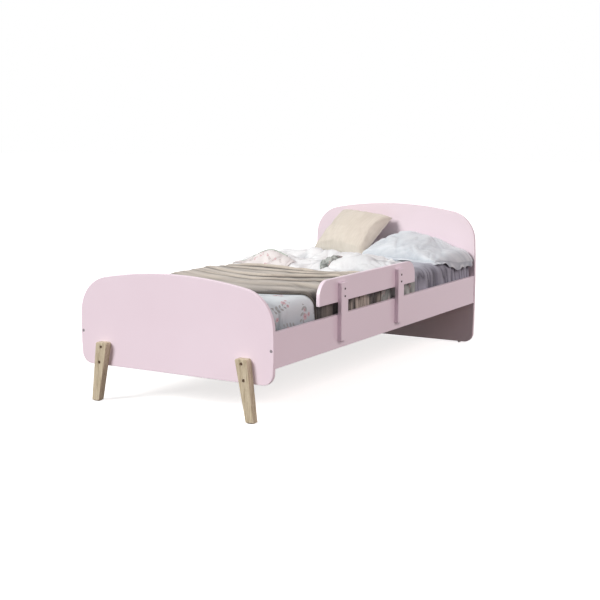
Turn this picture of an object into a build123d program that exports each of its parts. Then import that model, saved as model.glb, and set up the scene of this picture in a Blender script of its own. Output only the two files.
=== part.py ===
"""Single bed for a child, with a guard rail that lifts off.

Millimetres. +X is the guard's side, +Y points to the headboard, +Z is up.
The origin lies on the floor, midway between the rails and midway along the bed's whole length.
"""
import os
from math import exp
from build123d import *

os.makedirs("parts", exist_ok=True)

# --- Mattress and the space for it ---------------------------------------------------------------
mattress_width = 900
mattress_length = 2000
mattress_thickness = 158
mattress_edge_round = 32
mattress_corner_round = 70
mattress_side_gap = 14
mattress_end_gap = 5

# --- Head and foot panels ------------------------------------------------------------------------
panel_thickness = 18
panel_overhang = 3          # how far a panel's widest point stands outside the rails
panel_widest_height = 300   # height at which both panels are widest
panel_crown_radius = 1900   # the long arc along the top
panel_shoulder_radius = 160
panel_corner_radius = 50
panel_edge_round = 2.5
footboard_bottom = 153
footboard_apex = 564
footboard_side_radius = 1500
headboard_apex = 738
headboard_side_radius = 6000

# --- Side rails ----------------------------------------------------------------------------------
rail_thickness = 18
rail_height = 145
rail_bottom = 221
rail_edge_round = 1.5

# --- Legs at the foot end ------------------------------------------------------------------------
leg_thickness = 32
leg_top = 256
leg_top_offset = 351        # from the bed's middle to the middle of the leg's top
leg_foot_offset = 391       # the same at the floor, so that the leg splays outwards
leg_top_width = 59
leg_foot_width = 37
leg_top_round = 9
leg_edge_round = 3
leg_bolt_heights = (237, 171)
glide_thickness = 3
glide_margin = 4
glide_corner_round = 4

# --- Headboard glides ----------------------------------------------------------------------------
board_glide_radius = 8
board_glide_height = 6
board_glide_offset = 400
board_glide_pin_radius = 1.5
board_glide_pin_length = 12
board_glide_edge_round = 1.5

# --- Slatted base --------------------------------------------------------------------------------
ledge_width = 22
ledge_height = 40
ledge_drop = 76             # from the rail's top edge down to the ledge's top
ledge_end_gap = 10
ledge_screw_count = 6
ledge_screw_end = 120
slat_count = 14
slat_width = 70
slat_thickness = 18
slat_side_gap = 3
slat_end_gap = 20
slat_edge_round = 2
tape_width = 25
tape_thickness = 1.2
tape_offset = 270
staple_crown = 11
staple_wire = 1
staple_depth = 8

# --- Fasteners -----------------------------------------------------------------------------------
bolt_radius = 3
bolt_hole_play = 0.25
leg_bolt_head_radius = 5.5
leg_bolt_head_height = 4.5
leg_counterbore_radius = 7
leg_counterbore_depth = 6
hex_across_corners = 4.6
hex_depth = 2.5
head_chamfer = 0.6
sleeve_radius = 4.5
sleeve_length = 14
sleeve_head_radius = 7.5
sleeve_head_height = 1.5
sleeve_bore_play = 0.1
leg_bolt_bite = 9           # how far a leg bolt reaches into its sleeve nut
rail_bolt_head_radius = 6.5
rail_bolt_head_height = 3
rail_bolt_length = 50
cross_dowel_radius = 5
cross_dowel_length = 14
cross_dowel_depth = 32      # from the rail's end to the cross dowel's axis
cross_dowel_slot = 1.2
dowel_radius = 4
dowel_length = 32
dowel_in_panel = 10.5
dowel_spacing = 90
dowel_chamfer = 0.8
fit_play = 0.05
end_play = 0.5
screw_radius = 2
screw_head_radius = 4
screw_head_height = 2.5
ledge_screw_bite = 12
slat_screw_bite = 14

# --- Guard rail ----------------------------------------------------------------------------------
guard_start = 348           # from the footboard's inner face to the guard's foot end
guard_length = 920
guard_height = 105
guard_lift_gap = 54         # open height between the rail and the guard board
guard_thickness = 18
guard_corner_radius = 70
guard_edge_round = 2.5
guard_rail_play = 0.5
post_inset = 185            # from the guard's end to the middle of a post
post_width = 60
post_thickness = 18
post_height = 250
post_top_drop = 22          # from the guard board's top down to the post's top
post_edge_round = 2
guard_bolt_height = 40      # from the guard board's lower edge to the middle of a bolt pair
guard_bolt_spacing = 32
guard_bolt_head_radius = 4.5
guard_bolt_head_height = 2.5
guard_sleeve_radius = 4
guard_sleeve_length = 12
guard_sleeve_head_radius = 6
guard_bolt_bite = 6         # how far a guard bolt reaches into its sleeve nut
hook_thickness = 2
hook_width = 40
hook_reach = 60             # how far the hook comes down behind the rail
hook_seat_play = 0.3
hook_top_gap = 4
hook_bend_round = 1
hook_screw_radius = 1.75
hook_screw_head_radius = 3.5
hook_screw_head_height = 2
hook_screw_length = 13
hook_screw_spacing = 24

# --- Tolerance for picking edges and corners by their place --------------------------------------
same_place = 0.01

# --- Bedding -------------------------------------------------------------------------------------
soft_gap = 0.3
sheet_thickness = 2
sheet_hem_height = 20       # from the mattress's underside up to the sheet's hem
throw_thickness = 6
throw_foot_gap = 254        # from the mattress's foot end to the throw's edge
throw_length = 750          # along the bed
throw_hem_height = 22       # from the mattress's underside up to the throw's hem
duvet_pad_gap = 6           # between the duvet's head edge and the pillow and cushion
duvet_rim_height = 16
duvet_rest_height = 24      # between its hills
duvet_slant_width = 330     # at the guard's side its head edge slants back towards the foot end
duvet_slant_length = 250
duvet_columns = 12          # points that its top is drawn through, across and along the bed
duvet_rows = 10
duvet_hills = (             # across the bed, from the duvet's foot edge, half width, half length, height
    (-250, 165, 120, 70, 44),
    (-115, 345, 140, 85, 40),
    (80, 150, 100, 80, 22),
    (220, 180, 90, 75, 44),
    (350, 175, 80, 90, 34),
    (90, 350, 150, 85, 24),
    (-330, 450, 110, 110, 10),
)
duvet_flap_thickness = 6
duvet_flap_length = 345
flap_hem_height = 30        # from the mattress's underside up to the hems at the head end
blanket_thickness = 4
blanket_head_gap = 12
blanket_top_width = 400
pillow_width = 425
pillow_height = 380
pillow_thickness = 95
pillow_corner_round = 60
pillow_lean = 8
pillow_middle = 255         # from the bed's middle to the pillow's middle
cushion_width = 365
cushion_height = 335
cushion_thickness = 105
cushion_corner_round = 45
cushion_lean = 36
cushion_middle = -168
pad_edge_share = 0.46       # edge round as a share of a pad's thickness

# --- Places worked out from the sizes above -------------------------------------------------------
inner_half_width = mattress_width / 2 + mattress_side_gap
rail_outer = inner_half_width + rail_thickness
panel_half_width = rail_outer + panel_overhang
inner_length = mattress_length + 2 * mattress_end_gap
overall_length = leg_thickness + 2 * panel_thickness + inner_length
leg_front = -overall_length / 2
footboard_outer = leg_front + leg_thickness
footboard_inner = footboard_outer + panel_thickness
headboard_inner = footboard_inner + inner_length
headboard_outer = headboard_inner + panel_thickness
headboard_bottom = board_glide_height
rail_top = rail_bottom + rail_height
rail_middle = rail_bottom + rail_height / 2
rail_centre = inner_half_width + rail_thickness / 2
ledge_top = rail_top - ledge_drop
ledge_inner = inner_half_width - ledge_width
slat_top = ledge_top + slat_thickness
slat_half_length = inner_half_width - slat_side_gap
mattress_foot = footboard_inner + mattress_end_gap
mattress_head = headboard_inner - mattress_end_gap
mattress_bottom = slat_top + soft_gap
mattress_top = mattress_bottom + mattress_thickness
sheet_top = mattress_top + soft_gap + sheet_thickness
sheet_side = mattress_width / 2 + soft_gap + sheet_thickness
guard_inner = inner_half_width + guard_rail_play
guard_outer = guard_inner + guard_thickness
post_outer = guard_outer + post_thickness
guard_bottom = rail_top + guard_lift_gap
guard_top = guard_bottom + guard_height
guard_foot_end = footboard_inner + guard_start
guard_head_end = guard_foot_end + guard_length
post_middles = (guard_foot_end + post_inset, guard_head_end - post_inset)
post_top = guard_top - post_top_drop
guard_bolt_heights = [guard_bottom + guard_bolt_height + side * guard_bolt_spacing / 2 for side in (-1, 1)]
hook_seat = rail_top + hook_seat_play
hook_inner = inner_half_width - guard_rail_play - hook_thickness
throw_foot_edge = mattress_foot + throw_foot_gap
throw_head_edge = throw_foot_edge + throw_length
duvet_foot_edge = throw_head_edge + end_play
LEFT, RIGHT = -1, 1


# --- Helpers -------------------------------------------------------------------------------------
def block(low, high):
    """A box between two opposite corners."""
    size = [b - a for a, b in zip(low, high)]
    middle = [(a + b) / 2 for a, b in zip(low, high)]
    return Pos(*middle) * Box(*size)


def rod(radius, start, direction, length):
    """A round rod that starts at a point and runs along a direction."""
    plane = Plane(origin=start, z_dir=direction)
    return extrude(plane * Circle(radius), amount=length)


def upright(outline, front, back):
    """Stand an outline drawn in X and Z upright, and give it the depth from front to back."""
    return Pos(0, back, 0) * extrude(Plane.XZ * outline, amount=back - front, dir=(0, -1, 0))


def lengthwise(outline, left, right):
    """Stand an outline drawn in Y and Z upright, and give it the width from left to right."""
    return Pos(left, 0, 0) * extrude(Plane.YZ * outline, amount=right - left, dir=(1, 0, 0))


def edges_at(shape, axis, place):
    """The edges whose middles lie at one place along an axis."""
    return shape.edges().filter_by_position(axis, place - same_place, place + same_place)


def cut_all(shape, tools):
    """Take a list of solids out of a shape."""
    for tool in tools:
        shape = shape - tool
    return shape


def save(node, *solids):
    """Write one node, which may be a group of separate solids."""
    flat = [solid for shape in solids for solid in shape.solids()]
    export_step(flat[0] if len(flat) == 1 else Compound(children=flat), f"parts/{node}.step")


def side_name(side):
    return "left" if side == LEFT else "right"


# --- Fasteners -----------------------------------------------------------------------------------
def hex_bolt(head_radius, head_height, start, direction, length):
    """A bolt with a hexagon socket. It starts at its head's outer face."""
    plane = Plane(origin=start, z_dir=direction)
    head = extrude(plane * Circle(head_radius), amount=head_height)
    head = chamfer(head.edges().filter_by(GeomType.CIRCLE), head_chamfer)
    shank = extrude(plane * Circle(bolt_radius), amount=head_height + length)
    socket = extrude(plane * RegularPolygon(hex_across_corners / 2, 6), amount=min(hex_depth, head_height))
    return head + shank - socket


def sleeve_nut(face, direction, radius, length, head_radius):
    """A sleeve nut whose head lies on a face; direction points into the board."""
    plane = Plane(origin=face, z_dir=direction)
    sleeve = extrude(plane * Circle(radius), amount=length)
    head = extrude(plane * Circle(head_radius), amount=-sleeve_head_height)
    bore = extrude(plane * Circle(bolt_radius + sleeve_bore_play), amount=length)
    socket = extrude(plane * RegularPolygon(hex_across_corners / 2, 6), amount=-sleeve_head_height)
    return sleeve + head - bore - socket


def wood_screw(start, direction, length, play=0.0):
    """A countersunk screw with its head flush at the start. With play it is the hole for it."""
    plane = Plane(origin=start, z_dir=direction)
    radius = screw_radius + play
    countersink = loft([
        plane * Circle(screw_head_radius + play),
        plane.offset(screw_head_height) * Circle(radius),
    ])
    tip = 2 * screw_radius
    shank = extrude(plane * Circle(radius), amount=length - tip + play)
    point = loft([
        plane.offset(length - tip + play) * Circle(radius),
        plane.offset(length + play) * Circle(radius / 4),
    ])
    return countersink + shank + point


# --- Where each fastener goes --------------------------------------------------------------------
def leg_middle(height):
    """Distance from the bed's middle to the leg's centreline at a height."""
    share = (leg_top - height) / leg_top
    return leg_top_offset + share * (leg_foot_offset - leg_top_offset)


leg_bolt_places = [
    (side * leg_middle(height), height) for side in (LEFT, RIGHT) for height in leg_bolt_heights
]
rail_bolt_places = [side * rail_centre for side in (LEFT, RIGHT)]
dowel_heights = [rail_middle + side * dowel_spacing / 2 for side in (-1, 1)]
ledge_screw_pitch = (inner_length - 2 * ledge_screw_end) / (ledge_screw_count - 1)
ledge_screw_places = [
    footboard_inner + ledge_screw_end + number * ledge_screw_pitch for number in range(ledge_screw_count)
]
slat_pitch = (inner_length - 2 * slat_end_gap - slat_width) / (slat_count - 1)
slat_middles = [
    footboard_inner + slat_end_gap + slat_width / 2 + number * slat_pitch for number in range(slat_count)
]
slat_screw_offset = (inner_half_width + ledge_inner) / 2
panel_ends = {"foot": (footboard_outer, footboard_inner, 1), "head": (headboard_outer, headboard_inner, -1)}


# --- Head and foot panels ------------------------------------------------------------------------
def panel(bottom, apex, side_radius, front, back):
    """A board with a long arc on top, round shoulders, slightly bowed sides and round lower corners."""
    outline = Pos(0, apex - panel_crown_radius) * Circle(panel_crown_radius)
    for side in (LEFT, RIGHT):
        middle = side * (panel_half_width - side_radius)
        outline = outline & (Pos(middle, panel_widest_height) * Circle(side_radius))
    outline = outline & (Pos(0, bottom + apex) * Rectangle(4 * panel_half_width, 2 * apex))
    corners = outline.vertices().sort_by(Axis.Y)
    outline = fillet(corners[-2:], panel_shoulder_radius)
    corners = outline.vertices().sort_by(Axis.Y)
    outline = fillet(corners[:2], panel_corner_radius)
    board = upright(outline, front, back)
    rims = edges_at(board, Axis.Y, front) + edges_at(board, Axis.Y, back)
    return fillet(rims, panel_edge_round)


def rail_joint_holes(outer, inner, into_rail):
    """What the bolts and dowels at one end take out of the panel and the rails."""
    holes = []
    for x in rail_bolt_places:
        start = (x, outer, rail_middle)
        direction = (0, into_rail, 0)
        holes.append(rod(bolt_radius + bolt_hole_play, start, direction, rail_bolt_length + end_play))
        holes.append(rod(rail_bolt_head_radius + fit_play, start, direction, rail_bolt_head_height))
        for height in dowel_heights:
            dowel_start = inner - into_rail * (dowel_in_panel + end_play)
            length = dowel_length + 2 * end_play
            holes.append(rod(dowel_radius + fit_play, (x, dowel_start, height), direction, length))
    return holes


joint_holes = {end: rail_joint_holes(*places) for end, places in panel_ends.items()}
footboard = panel(footboard_bottom, footboard_apex, footboard_side_radius, footboard_outer, footboard_inner)
footboard = cut_all(footboard, joint_holes["foot"])
for x, height in leg_bolt_places:
    footboard = footboard - rod(sleeve_radius + fit_play, (x, footboard_outer, height), (0, 1, 0), panel_thickness)
save("footboard_panel", footboard)

headboard = panel(headboard_bottom, headboard_apex, headboard_side_radius, headboard_inner, headboard_outer)
headboard = cut_all(headboard, joint_holes["head"])
headboard_middle = headboard_inner + panel_thickness / 2
board_glides = []
for side in (LEFT, RIGHT):
    foot = (side * board_glide_offset, headboard_middle, 0)
    pin = (side * board_glide_offset, headboard_middle, board_glide_height)
    pad = rod(board_glide_radius, foot, (0, 0, 1), board_glide_height)
    pad = fillet(edges_at(pad, Axis.Z, 0), board_glide_edge_round)
    board_glides.append(pad + rod(board_glide_pin_radius, pin, (0, 0, 1), board_glide_pin_length))
    pin_hole = rod(board_glide_pin_radius + fit_play, pin, (0, 0, 1), board_glide_pin_length + end_play)
    headboard = headboard - pin_hole
save("headboard_panel", headboard)
save("headboard_glides", *board_glides)


# --- Side rails and their joints -----------------------------------------------------------------
def cross_dowel_start(side, end):
    """The middle of the cross dowel's face, flush with the rail's inner face."""
    _, inner, into_rail = panel_ends[end]
    return (side * inner_half_width, inner + into_rail * cross_dowel_depth, rail_middle)


def side_rail(side):
    rail = block(
        (min(side * inner_half_width, side * rail_outer), footboard_inner, rail_bottom),
        (max(side * inner_half_width, side * rail_outer), headboard_inner, rail_top),
    )
    rail = fillet(rail.edges().filter_by(Axis.Y), rail_edge_round)
    for end in panel_ends:
        rail = cut_all(rail, joint_holes[end])
        start = cross_dowel_start(side, end)
        rail = rail - rod(cross_dowel_radius + fit_play, start, (side, 0, 0), cross_dowel_length + end_play)
    for y in ledge_screw_places:
        start = (side * ledge_inner, y, ledge_top - ledge_height / 2)
        rail = rail - wood_screw(start, (side, 0, 0), ledge_width + ledge_screw_bite, fit_play)
    return rail


def cross_dowel(side, end):
    start = cross_dowel_start(side, end)
    dowel = rod(cross_dowel_radius, start, (side, 0, 0), cross_dowel_length)
    bolt_hole = rod(
        bolt_radius + sleeve_bore_play,
        (side * rail_centre, start[1] - 2 * cross_dowel_radius, rail_middle), (0, 1, 0), 4 * cross_dowel_radius,
    )
    slot = Pos(*start) * Box(2 * cross_dowel_slot, 2 * cross_dowel_radius, cross_dowel_slot)
    return dowel - bolt_hole - slot


for side in (LEFT, RIGHT):
    save(f"side_rail_{side_name(side)}", side_rail(side))
save("rail_cross_dowels", *[cross_dowel(side, end) for side in (LEFT, RIGHT) for end in panel_ends])

rail_bolts = []
wooden_dowels = []
for outer, inner, into_rail in panel_ends.values():
    direction = (0, into_rail, 0)
    for x in rail_bolt_places:
        rail_bolts.append(hex_bolt(
            rail_bolt_head_radius, rail_bolt_head_height, (x, outer, rail_middle), direction,
            rail_bolt_length - rail_bolt_head_height,
        ))
        for height in dowel_heights:
            start = (x, inner - into_rail * dowel_in_panel, height)
            dowel = rod(dowel_radius, start, direction, dowel_length)
            wooden_dowels.append(chamfer(dowel.edges().filter_by(GeomType.CIRCLE), dowel_chamfer))
save("rail_bolts", *rail_bolts)
save("wooden_dowels", *wooden_dowels)


# --- Legs ----------------------------------------------------------------------------------------
def leg(side):
    """A tapered, splayed leg on the footboard's outer face."""
    foot_height = glide_thickness
    foot_middle = leg_middle(foot_height)
    outline = Polygon(
        (side * (foot_middle - leg_foot_width / 2), foot_height),
        (side * (foot_middle + leg_foot_width / 2), foot_height),
        (side * (leg_top_offset + leg_top_width / 2), leg_top),
        (side * (leg_top_offset - leg_top_width / 2), leg_top),
        align=None,
    )
    outline = fillet(outline.vertices().sort_by(Axis.Y)[-2:], leg_top_round)
    body = upright(outline, leg_front, footboard_outer)
    body = fillet(edges_at(body, Axis.Y, leg_front), leg_edge_round)
    for height in leg_bolt_heights:
        start = (side * leg_middle(height), leg_front, height)
        body = body - rod(leg_counterbore_radius, start, (0, 1, 0), leg_counterbore_depth)
        body = body - rod(bolt_radius + bolt_hole_play, start, (0, 1, 0), leg_thickness)
    return body


def leg_glide(side):
    """A felt pad under the leg, a little smaller than the foot."""
    size = (leg_foot_width - 2 * glide_margin, leg_thickness - 2 * glide_margin)
    pad = extrude(RectangleRounded(*size, glide_corner_round), amount=glide_thickness)
    return Pos(side * leg_middle(glide_thickness), (leg_front + footboard_outer) / 2, 0) * pad


for side in (LEFT, RIGHT):
    save(f"leg_{side_name(side)}", leg(side))
save("leg_glides", *[leg_glide(side) for side in (LEFT, RIGHT)])

leg_bolt_start = leg_front + leg_counterbore_depth - leg_bolt_head_height
leg_bolt_end = footboard_inner - sleeve_length + leg_bolt_bite
leg_bolt_shank = leg_bolt_end - leg_bolt_start - leg_bolt_head_height
save("leg_bolts", *[
    hex_bolt(leg_bolt_head_radius, leg_bolt_head_height, (x, leg_bolt_start, height), (0, 1, 0), leg_bolt_shank)
    for x, height in leg_bolt_places
])
save("leg_sleeve_nuts", *[
    sleeve_nut((x, footboard_inner, height), (0, -1, 0), sleeve_radius, sleeve_length, sleeve_head_radius)
    for x, height in leg_bolt_places
])


# --- Slatted base --------------------------------------------------------------------------------
def ledge(side):
    strip = block(
        (min(side * ledge_inner, side * inner_half_width), footboard_inner + ledge_end_gap, ledge_top - ledge_height),
        (max(side * ledge_inner, side * inner_half_width), headboard_inner - ledge_end_gap, ledge_top),
    )
    for y in ledge_screw_places:
        start = (side * ledge_inner, y, ledge_top - ledge_height / 2)
        strip = strip - wood_screw(start, (side, 0, 0), ledge_width + ledge_screw_bite, fit_play)
    for y in (slat_middles[0], slat_middles[-1]):
        start = (side * slat_screw_offset, y, slat_top)
        strip = strip - wood_screw(start, (0, 0, -1), slat_thickness + slat_screw_bite, fit_play)
    return strip


def prongs(x, y, play=0.0):
    """A staple's two prongs, up through the tape into a slat. With play they are the cuts for them."""
    half = staple_wire / 2 + play
    under = ledge_top - tape_thickness
    reach = (staple_crown - staple_wire) / 2
    return [
        block(
            (x + side * reach - half, y - half, under),
            (x + side * reach + half, y + half, under + staple_depth + play),
        )
        for side in (-1, 1)
    ]


def staple(x, y):
    """A wire staple that holds the tape to a slat."""
    under = ledge_top - tape_thickness
    crown = block(
        (x - staple_crown / 2, y - staple_wire / 2, under - staple_wire),
        (x + staple_crown / 2, y + staple_wire / 2, under),
    )
    return crown + prongs(x, y)


def slat(number):
    middle = slat_middles[number]
    board = block(
        (-slat_half_length, middle - slat_width / 2, ledge_top),
        (slat_half_length, middle + slat_width / 2, slat_top),
    )
    board = fillet(board.edges().filter_by(Axis.X), slat_edge_round)
    for side in (LEFT, RIGHT):
        board = cut_all(board, prongs(side * tape_offset, middle, fit_play))
        if number in (0, slat_count - 1):
            start = (side * slat_screw_offset, middle, slat_top)
            board = board - wood_screw(start, (0, 0, -1), slat_thickness + slat_screw_bite, fit_play)
    return board


def tape(side):
    band = block(
        (side * tape_offset - tape_width / 2, slat_middles[0] - slat_width / 2, ledge_top - tape_thickness),
        (side * tape_offset + tape_width / 2, slat_middles[-1] + slat_width / 2, ledge_top),
    )
    for middle in slat_middles:
        band = cut_all(band, prongs(side * tape_offset, middle, fit_play))
    return band


for side in (LEFT, RIGHT):
    save(f"slat_ledge_{side_name(side)}", ledge(side))
    save(f"slat_tape_{side_name(side)}", tape(side))
for number in range(slat_count):
    save(f"slat_{number + 1:02d}", slat(number))
save("ledge_screws", *[
    wood_screw(
        (side * ledge_inner, y, ledge_top - ledge_height / 2), (side, 0, 0), ledge_width + ledge_screw_bite,
    )
    for side in (LEFT, RIGHT) for y in ledge_screw_places
])
save("slat_end_screws", *[
    wood_screw((side * slat_screw_offset, y, slat_top), (0, 0, -1), slat_thickness + slat_screw_bite)
    for side in (LEFT, RIGHT) for y in (slat_middles[0], slat_middles[-1])
])
save("tape_staples", *[staple(side * tape_offset, middle) for side in (LEFT, RIGHT) for middle in slat_middles])


# --- Guard rail ----------------------------------------------------------------------------------
def guard_board():
    outline = Pos((guard_foot_end + guard_head_end) / 2, (guard_bottom + guard_top) / 2) * Rectangle(
        guard_length, guard_height)
    outline = fillet(outline.vertices().sort_by(Axis.Y)[-2:], guard_corner_radius)
    board = lengthwise(outline, guard_inner, guard_outer)
    rims = edges_at(board, Axis.X, guard_inner) + edges_at(board, Axis.X, guard_outer)
    board = fillet(rims, guard_edge_round)
    for y in post_middles:
        for height in guard_bolt_heights:
            start = (guard_inner, y, height)
            board = board - rod(guard_sleeve_radius + fit_play, start, (1, 0, 0), guard_thickness)
    return board


def hook_screw_starts(middle):
    """Where a hook's two screws enter its plate, on the plate's inner face."""
    height = (rail_top + guard_bottom) / 2
    inner_face = guard_outer - hook_thickness
    return [(inner_face, middle + side * hook_screw_spacing / 2, height) for side in (-1, 1)]


def guard_post(middle):
    post = block(
        (guard_outer, middle - post_width / 2, post_top - post_height),
        (post_outer, middle + post_width / 2, post_top),
    )
    post = fillet(post.edges(), post_edge_round)
    for height in guard_bolt_heights:
        hole = rod(bolt_radius + bolt_hole_play, (guard_outer, middle, height), (1, 0, 0), post_thickness)
        post = post - hole
    for start in hook_screw_starts(middle):
        post = post - rod(hook_screw_radius + fit_play, start, (1, 0, 0), hook_screw_length + end_play)
    return post


def guard_hook(middle):
    """A bent plate on the post's inner face that reaches over the rail and down behind it."""
    on_post = guard_outer - hook_thickness
    bridge_top = hook_seat + hook_thickness
    corners = (
        (guard_outer, hook_seat), (guard_outer, guard_bottom - hook_top_gap),
        (on_post, guard_bottom - hook_top_gap), (on_post, bridge_top),
        (hook_inner, bridge_top), (hook_inner, bridge_top - hook_reach),
        (hook_inner + hook_thickness, bridge_top - hook_reach), (hook_inner + hook_thickness, hook_seat),
    )
    outline = Polygon(*corners, align=None)
    bends = [v for v in outline.vertices() if abs(v.Y - bridge_top) < same_place]
    outline = fillet(bends, hook_bend_round)
    plate = upright(outline, middle - hook_width / 2, middle + hook_width / 2)
    for start in hook_screw_starts(middle):
        plate = plate - rod(hook_screw_radius + fit_play, start, (1, 0, 0), hook_thickness)
    return plate


def hook_screw(start):
    plane = Plane(origin=start, z_dir=(1, 0, 0))
    head = extrude(plane * Circle(hook_screw_head_radius), amount=-hook_screw_head_height)
    return head + rod(hook_screw_radius, start, (1, 0, 0), hook_screw_length)


save("guard_board", guard_board())
for end, middle in zip(("foot", "head"), post_middles):
    save(f"guard_post_{end}", guard_post(middle))
    save(f"guard_hook_{end}", guard_hook(middle))
guard_bolt_shank = post_thickness + guard_thickness - guard_sleeve_length + guard_bolt_bite
guard_bolt_start = post_outer + guard_bolt_head_height
save("guard_bolts", *[
    hex_bolt(guard_bolt_head_radius, guard_bolt_head_height, (guard_bolt_start, y, height), (-1, 0, 0),
             guard_bolt_shank)
    for y in post_middles for height in guard_bolt_heights
])
save("guard_sleeve_nuts", *[
    sleeve_nut((guard_inner, y, height), (1, 0, 0), guard_sleeve_radius, guard_sleeve_length,
               guard_sleeve_head_radius)
    for y in post_middles for height in guard_bolt_heights
])
save("hook_screws", *[hook_screw(start) for y in post_middles for start in hook_screw_starts(y)])


# --- Mattress and its sheet ----------------------------------------------------------------------
def mattress_shape(grow, bottom):
    """The mattress's outer shape, larger by a margin, from a chosen height up."""
    outline = RectangleRounded(
        mattress_width + 2 * grow, mattress_length + 2 * grow, mattress_corner_round + grow)
    middle = (mattress_foot + mattress_head) / 2
    shape = Pos(0, middle, bottom) * extrude(outline, amount=mattress_top + grow - bottom)
    return fillet(edges_at(shape, Axis.Z, mattress_top + grow), mattress_edge_round + grow)


mattress = mattress_shape(0, mattress_bottom)
mattress = fillet(edges_at(mattress, Axis.Z, mattress_bottom), mattress_edge_round)
save("mattress", mattress)
hem = mattress_bottom + sheet_hem_height + mattress_edge_round
sheet = mattress_shape(soft_gap + sheet_thickness, hem)
sheet = sheet - mattress_shape(soft_gap, hem)
save("patterned_sheet", sheet)


# --- Pillow and cushion --------------------------------------------------------------------------
def pad(width, height, thickness, corner, lean, middle, seat):
    """A padded form that lies on a seat and leans its upper edge on the headboard."""
    form = extrude(RectangleRounded(width, height, corner), amount=thickness)
    rims = edges_at(form, Axis.Z, 0) + edges_at(form, Axis.Z, thickness)
    form = Rot(lean, 0, 0) * fillet(rims, pad_edge_share * thickness)
    box = form.bounding_box()
    return Pos(middle, headboard_inner - soft_gap - box.max.Y, seat + soft_gap - box.min.Z) * form


pillow_seat = sheet_top + soft_gap + blanket_thickness
pillow = pad(
    pillow_width, pillow_height, pillow_thickness, pillow_corner_round, pillow_lean, pillow_middle, pillow_seat)
save("pillow", pillow)
cushion = pad(
    cushion_width, cushion_height, cushion_thickness, cushion_corner_round, cushion_lean, cushion_middle,
    sheet_top)
save("cushion", cushion)


# --- Throw, duvet and blanket --------------------------------------------------------------------
def drape_band(inner, thickness, hem_height):
    """The outline across the bed of a cloth that lies on the sheet and hangs down both sides."""
    outer_half = sheet_side + inner + thickness
    inner_half = sheet_side + inner
    crown_outer = sheet_top + inner + thickness
    crown_inner = sheet_top + inner
    corner = mattress_edge_round + sheet_thickness + soft_gap + inner
    low = mattress_bottom + hem_height
    outer = Pos(0, (low + crown_outer) / 2) * Rectangle(2 * outer_half, crown_outer - low)
    outer = fillet(outer.vertices().sort_by(Axis.Y)[-2:], corner + thickness)
    hollow = Pos(0, (low + crown_inner) / 2) * Rectangle(2 * inner_half, crown_inner - low)
    hollow = fillet(hollow.vertices().sort_by(Axis.Y)[-2:], corner)
    return outer - hollow


throw = upright(drape_band(soft_gap, throw_thickness, throw_hem_height), throw_foot_edge, throw_head_edge)
save("throw", throw)


duvet_base = sheet_top + soft_gap
duvet_head_edge = min(pillow.bounding_box().min.Y, cushion.bounding_box().min.Y) - duvet_pad_gap
duvet_half = sheet_side - mattress_edge_round / 2


def evenly(low, high, count):
    """Places spread evenly from low to high."""
    return [low + (high - low) * number / (count - 1) for number in range(count)]


def duvet_height(x, y):
    """How high the duvet's hills stand above its base."""
    height = duvet_rest_height
    for across, along, half_width, half_length, rise in duvet_hills:
        from_middle = ((x - across) / half_width) ** 2 + ((y - duvet_foot_edge - along) / half_length) ** 2
        height += rise * exp(-from_middle)
    return height


def duvet_top():
    """The duvet's hilly top as one smooth surface, low along its rim."""
    rows = []
    for row, y in enumerate(evenly(duvet_foot_edge, duvet_head_edge, duvet_rows)):
        on_edge_row = row in (0, duvet_rows - 1)
        points = []
        for column, x in enumerate(evenly(-duvet_half, duvet_half, duvet_columns)):
            on_rim = on_edge_row or column in (0, duvet_columns - 1)
            height = duvet_rim_height if on_rim else duvet_height(x, y)
            points.append(Vector(x, y, duvet_base + height))
        rows.append(points)
    return Face.make_surface_from_array_of_points(rows)


duvet_slant_start = duvet_half - duvet_slant_width
duvet_plan = Polygon(
    (-duvet_half, duvet_foot_edge), (duvet_half, duvet_foot_edge),
    (duvet_half, duvet_head_edge - duvet_slant_length), (duvet_slant_start, duvet_head_edge),
    (-duvet_half, duvet_head_edge),
    align=None,
)
duvet_space = Pos(0, 0, duvet_base) * extrude(duvet_plan, amount=guard_height, dir=(0, 0, 1))
duvet = duvet_space & extrude(duvet_top(), amount=guard_height, dir=(0, 0, -1))
flap = drape_band(soft_gap, duvet_flap_thickness, flap_hem_height)
flap = upright(flap, duvet_foot_edge, duvet_foot_edge + duvet_flap_length)
right_edge = block(
    (duvet_half - mattress_edge_round, duvet_foot_edge, mattress_bottom),
    (rail_outer, duvet_head_edge, guard_top),
)
save("duvet", duvet + (flap & right_edge))

blanket_foot_edge = duvet_foot_edge + duvet_flap_length + end_play
blanket_head_edge = mattress_head - blanket_head_gap
blanket_band = drape_band(soft_gap, blanket_thickness, flap_hem_height)
blanket = upright(blanket_band, blanket_foot_edge, blanket_head_edge)
hanging = block(
    (sheet_side, blanket_foot_edge, mattress_bottom),
    (rail_outer, blanket_head_edge, duvet_base - mattress_edge_round),
)
lying = block(
    (sheet_side - blanket_top_width, duvet_head_edge - duvet_slant_length + end_play, mattress_bottom),
    (rail_outer, blanket_head_edge, guard_top),
)
under_duvet = Pos(0, end_play, duvet_base - guard_height) * extrude(
    duvet_plan, amount=2 * guard_height, dir=(0, 0, 1))
lying = lying - under_duvet
save("grey_blanket", (blanket & hanging) + (blanket & lying))
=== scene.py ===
"""The looks of a child's single bed: lacquered boards, oak legs, slats, guard rail and crumpled bedding.

Metres, in the CAD model's own frame: +X is the guard's side, +Y points to the headboard, +Z is up.
"""
import math

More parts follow.
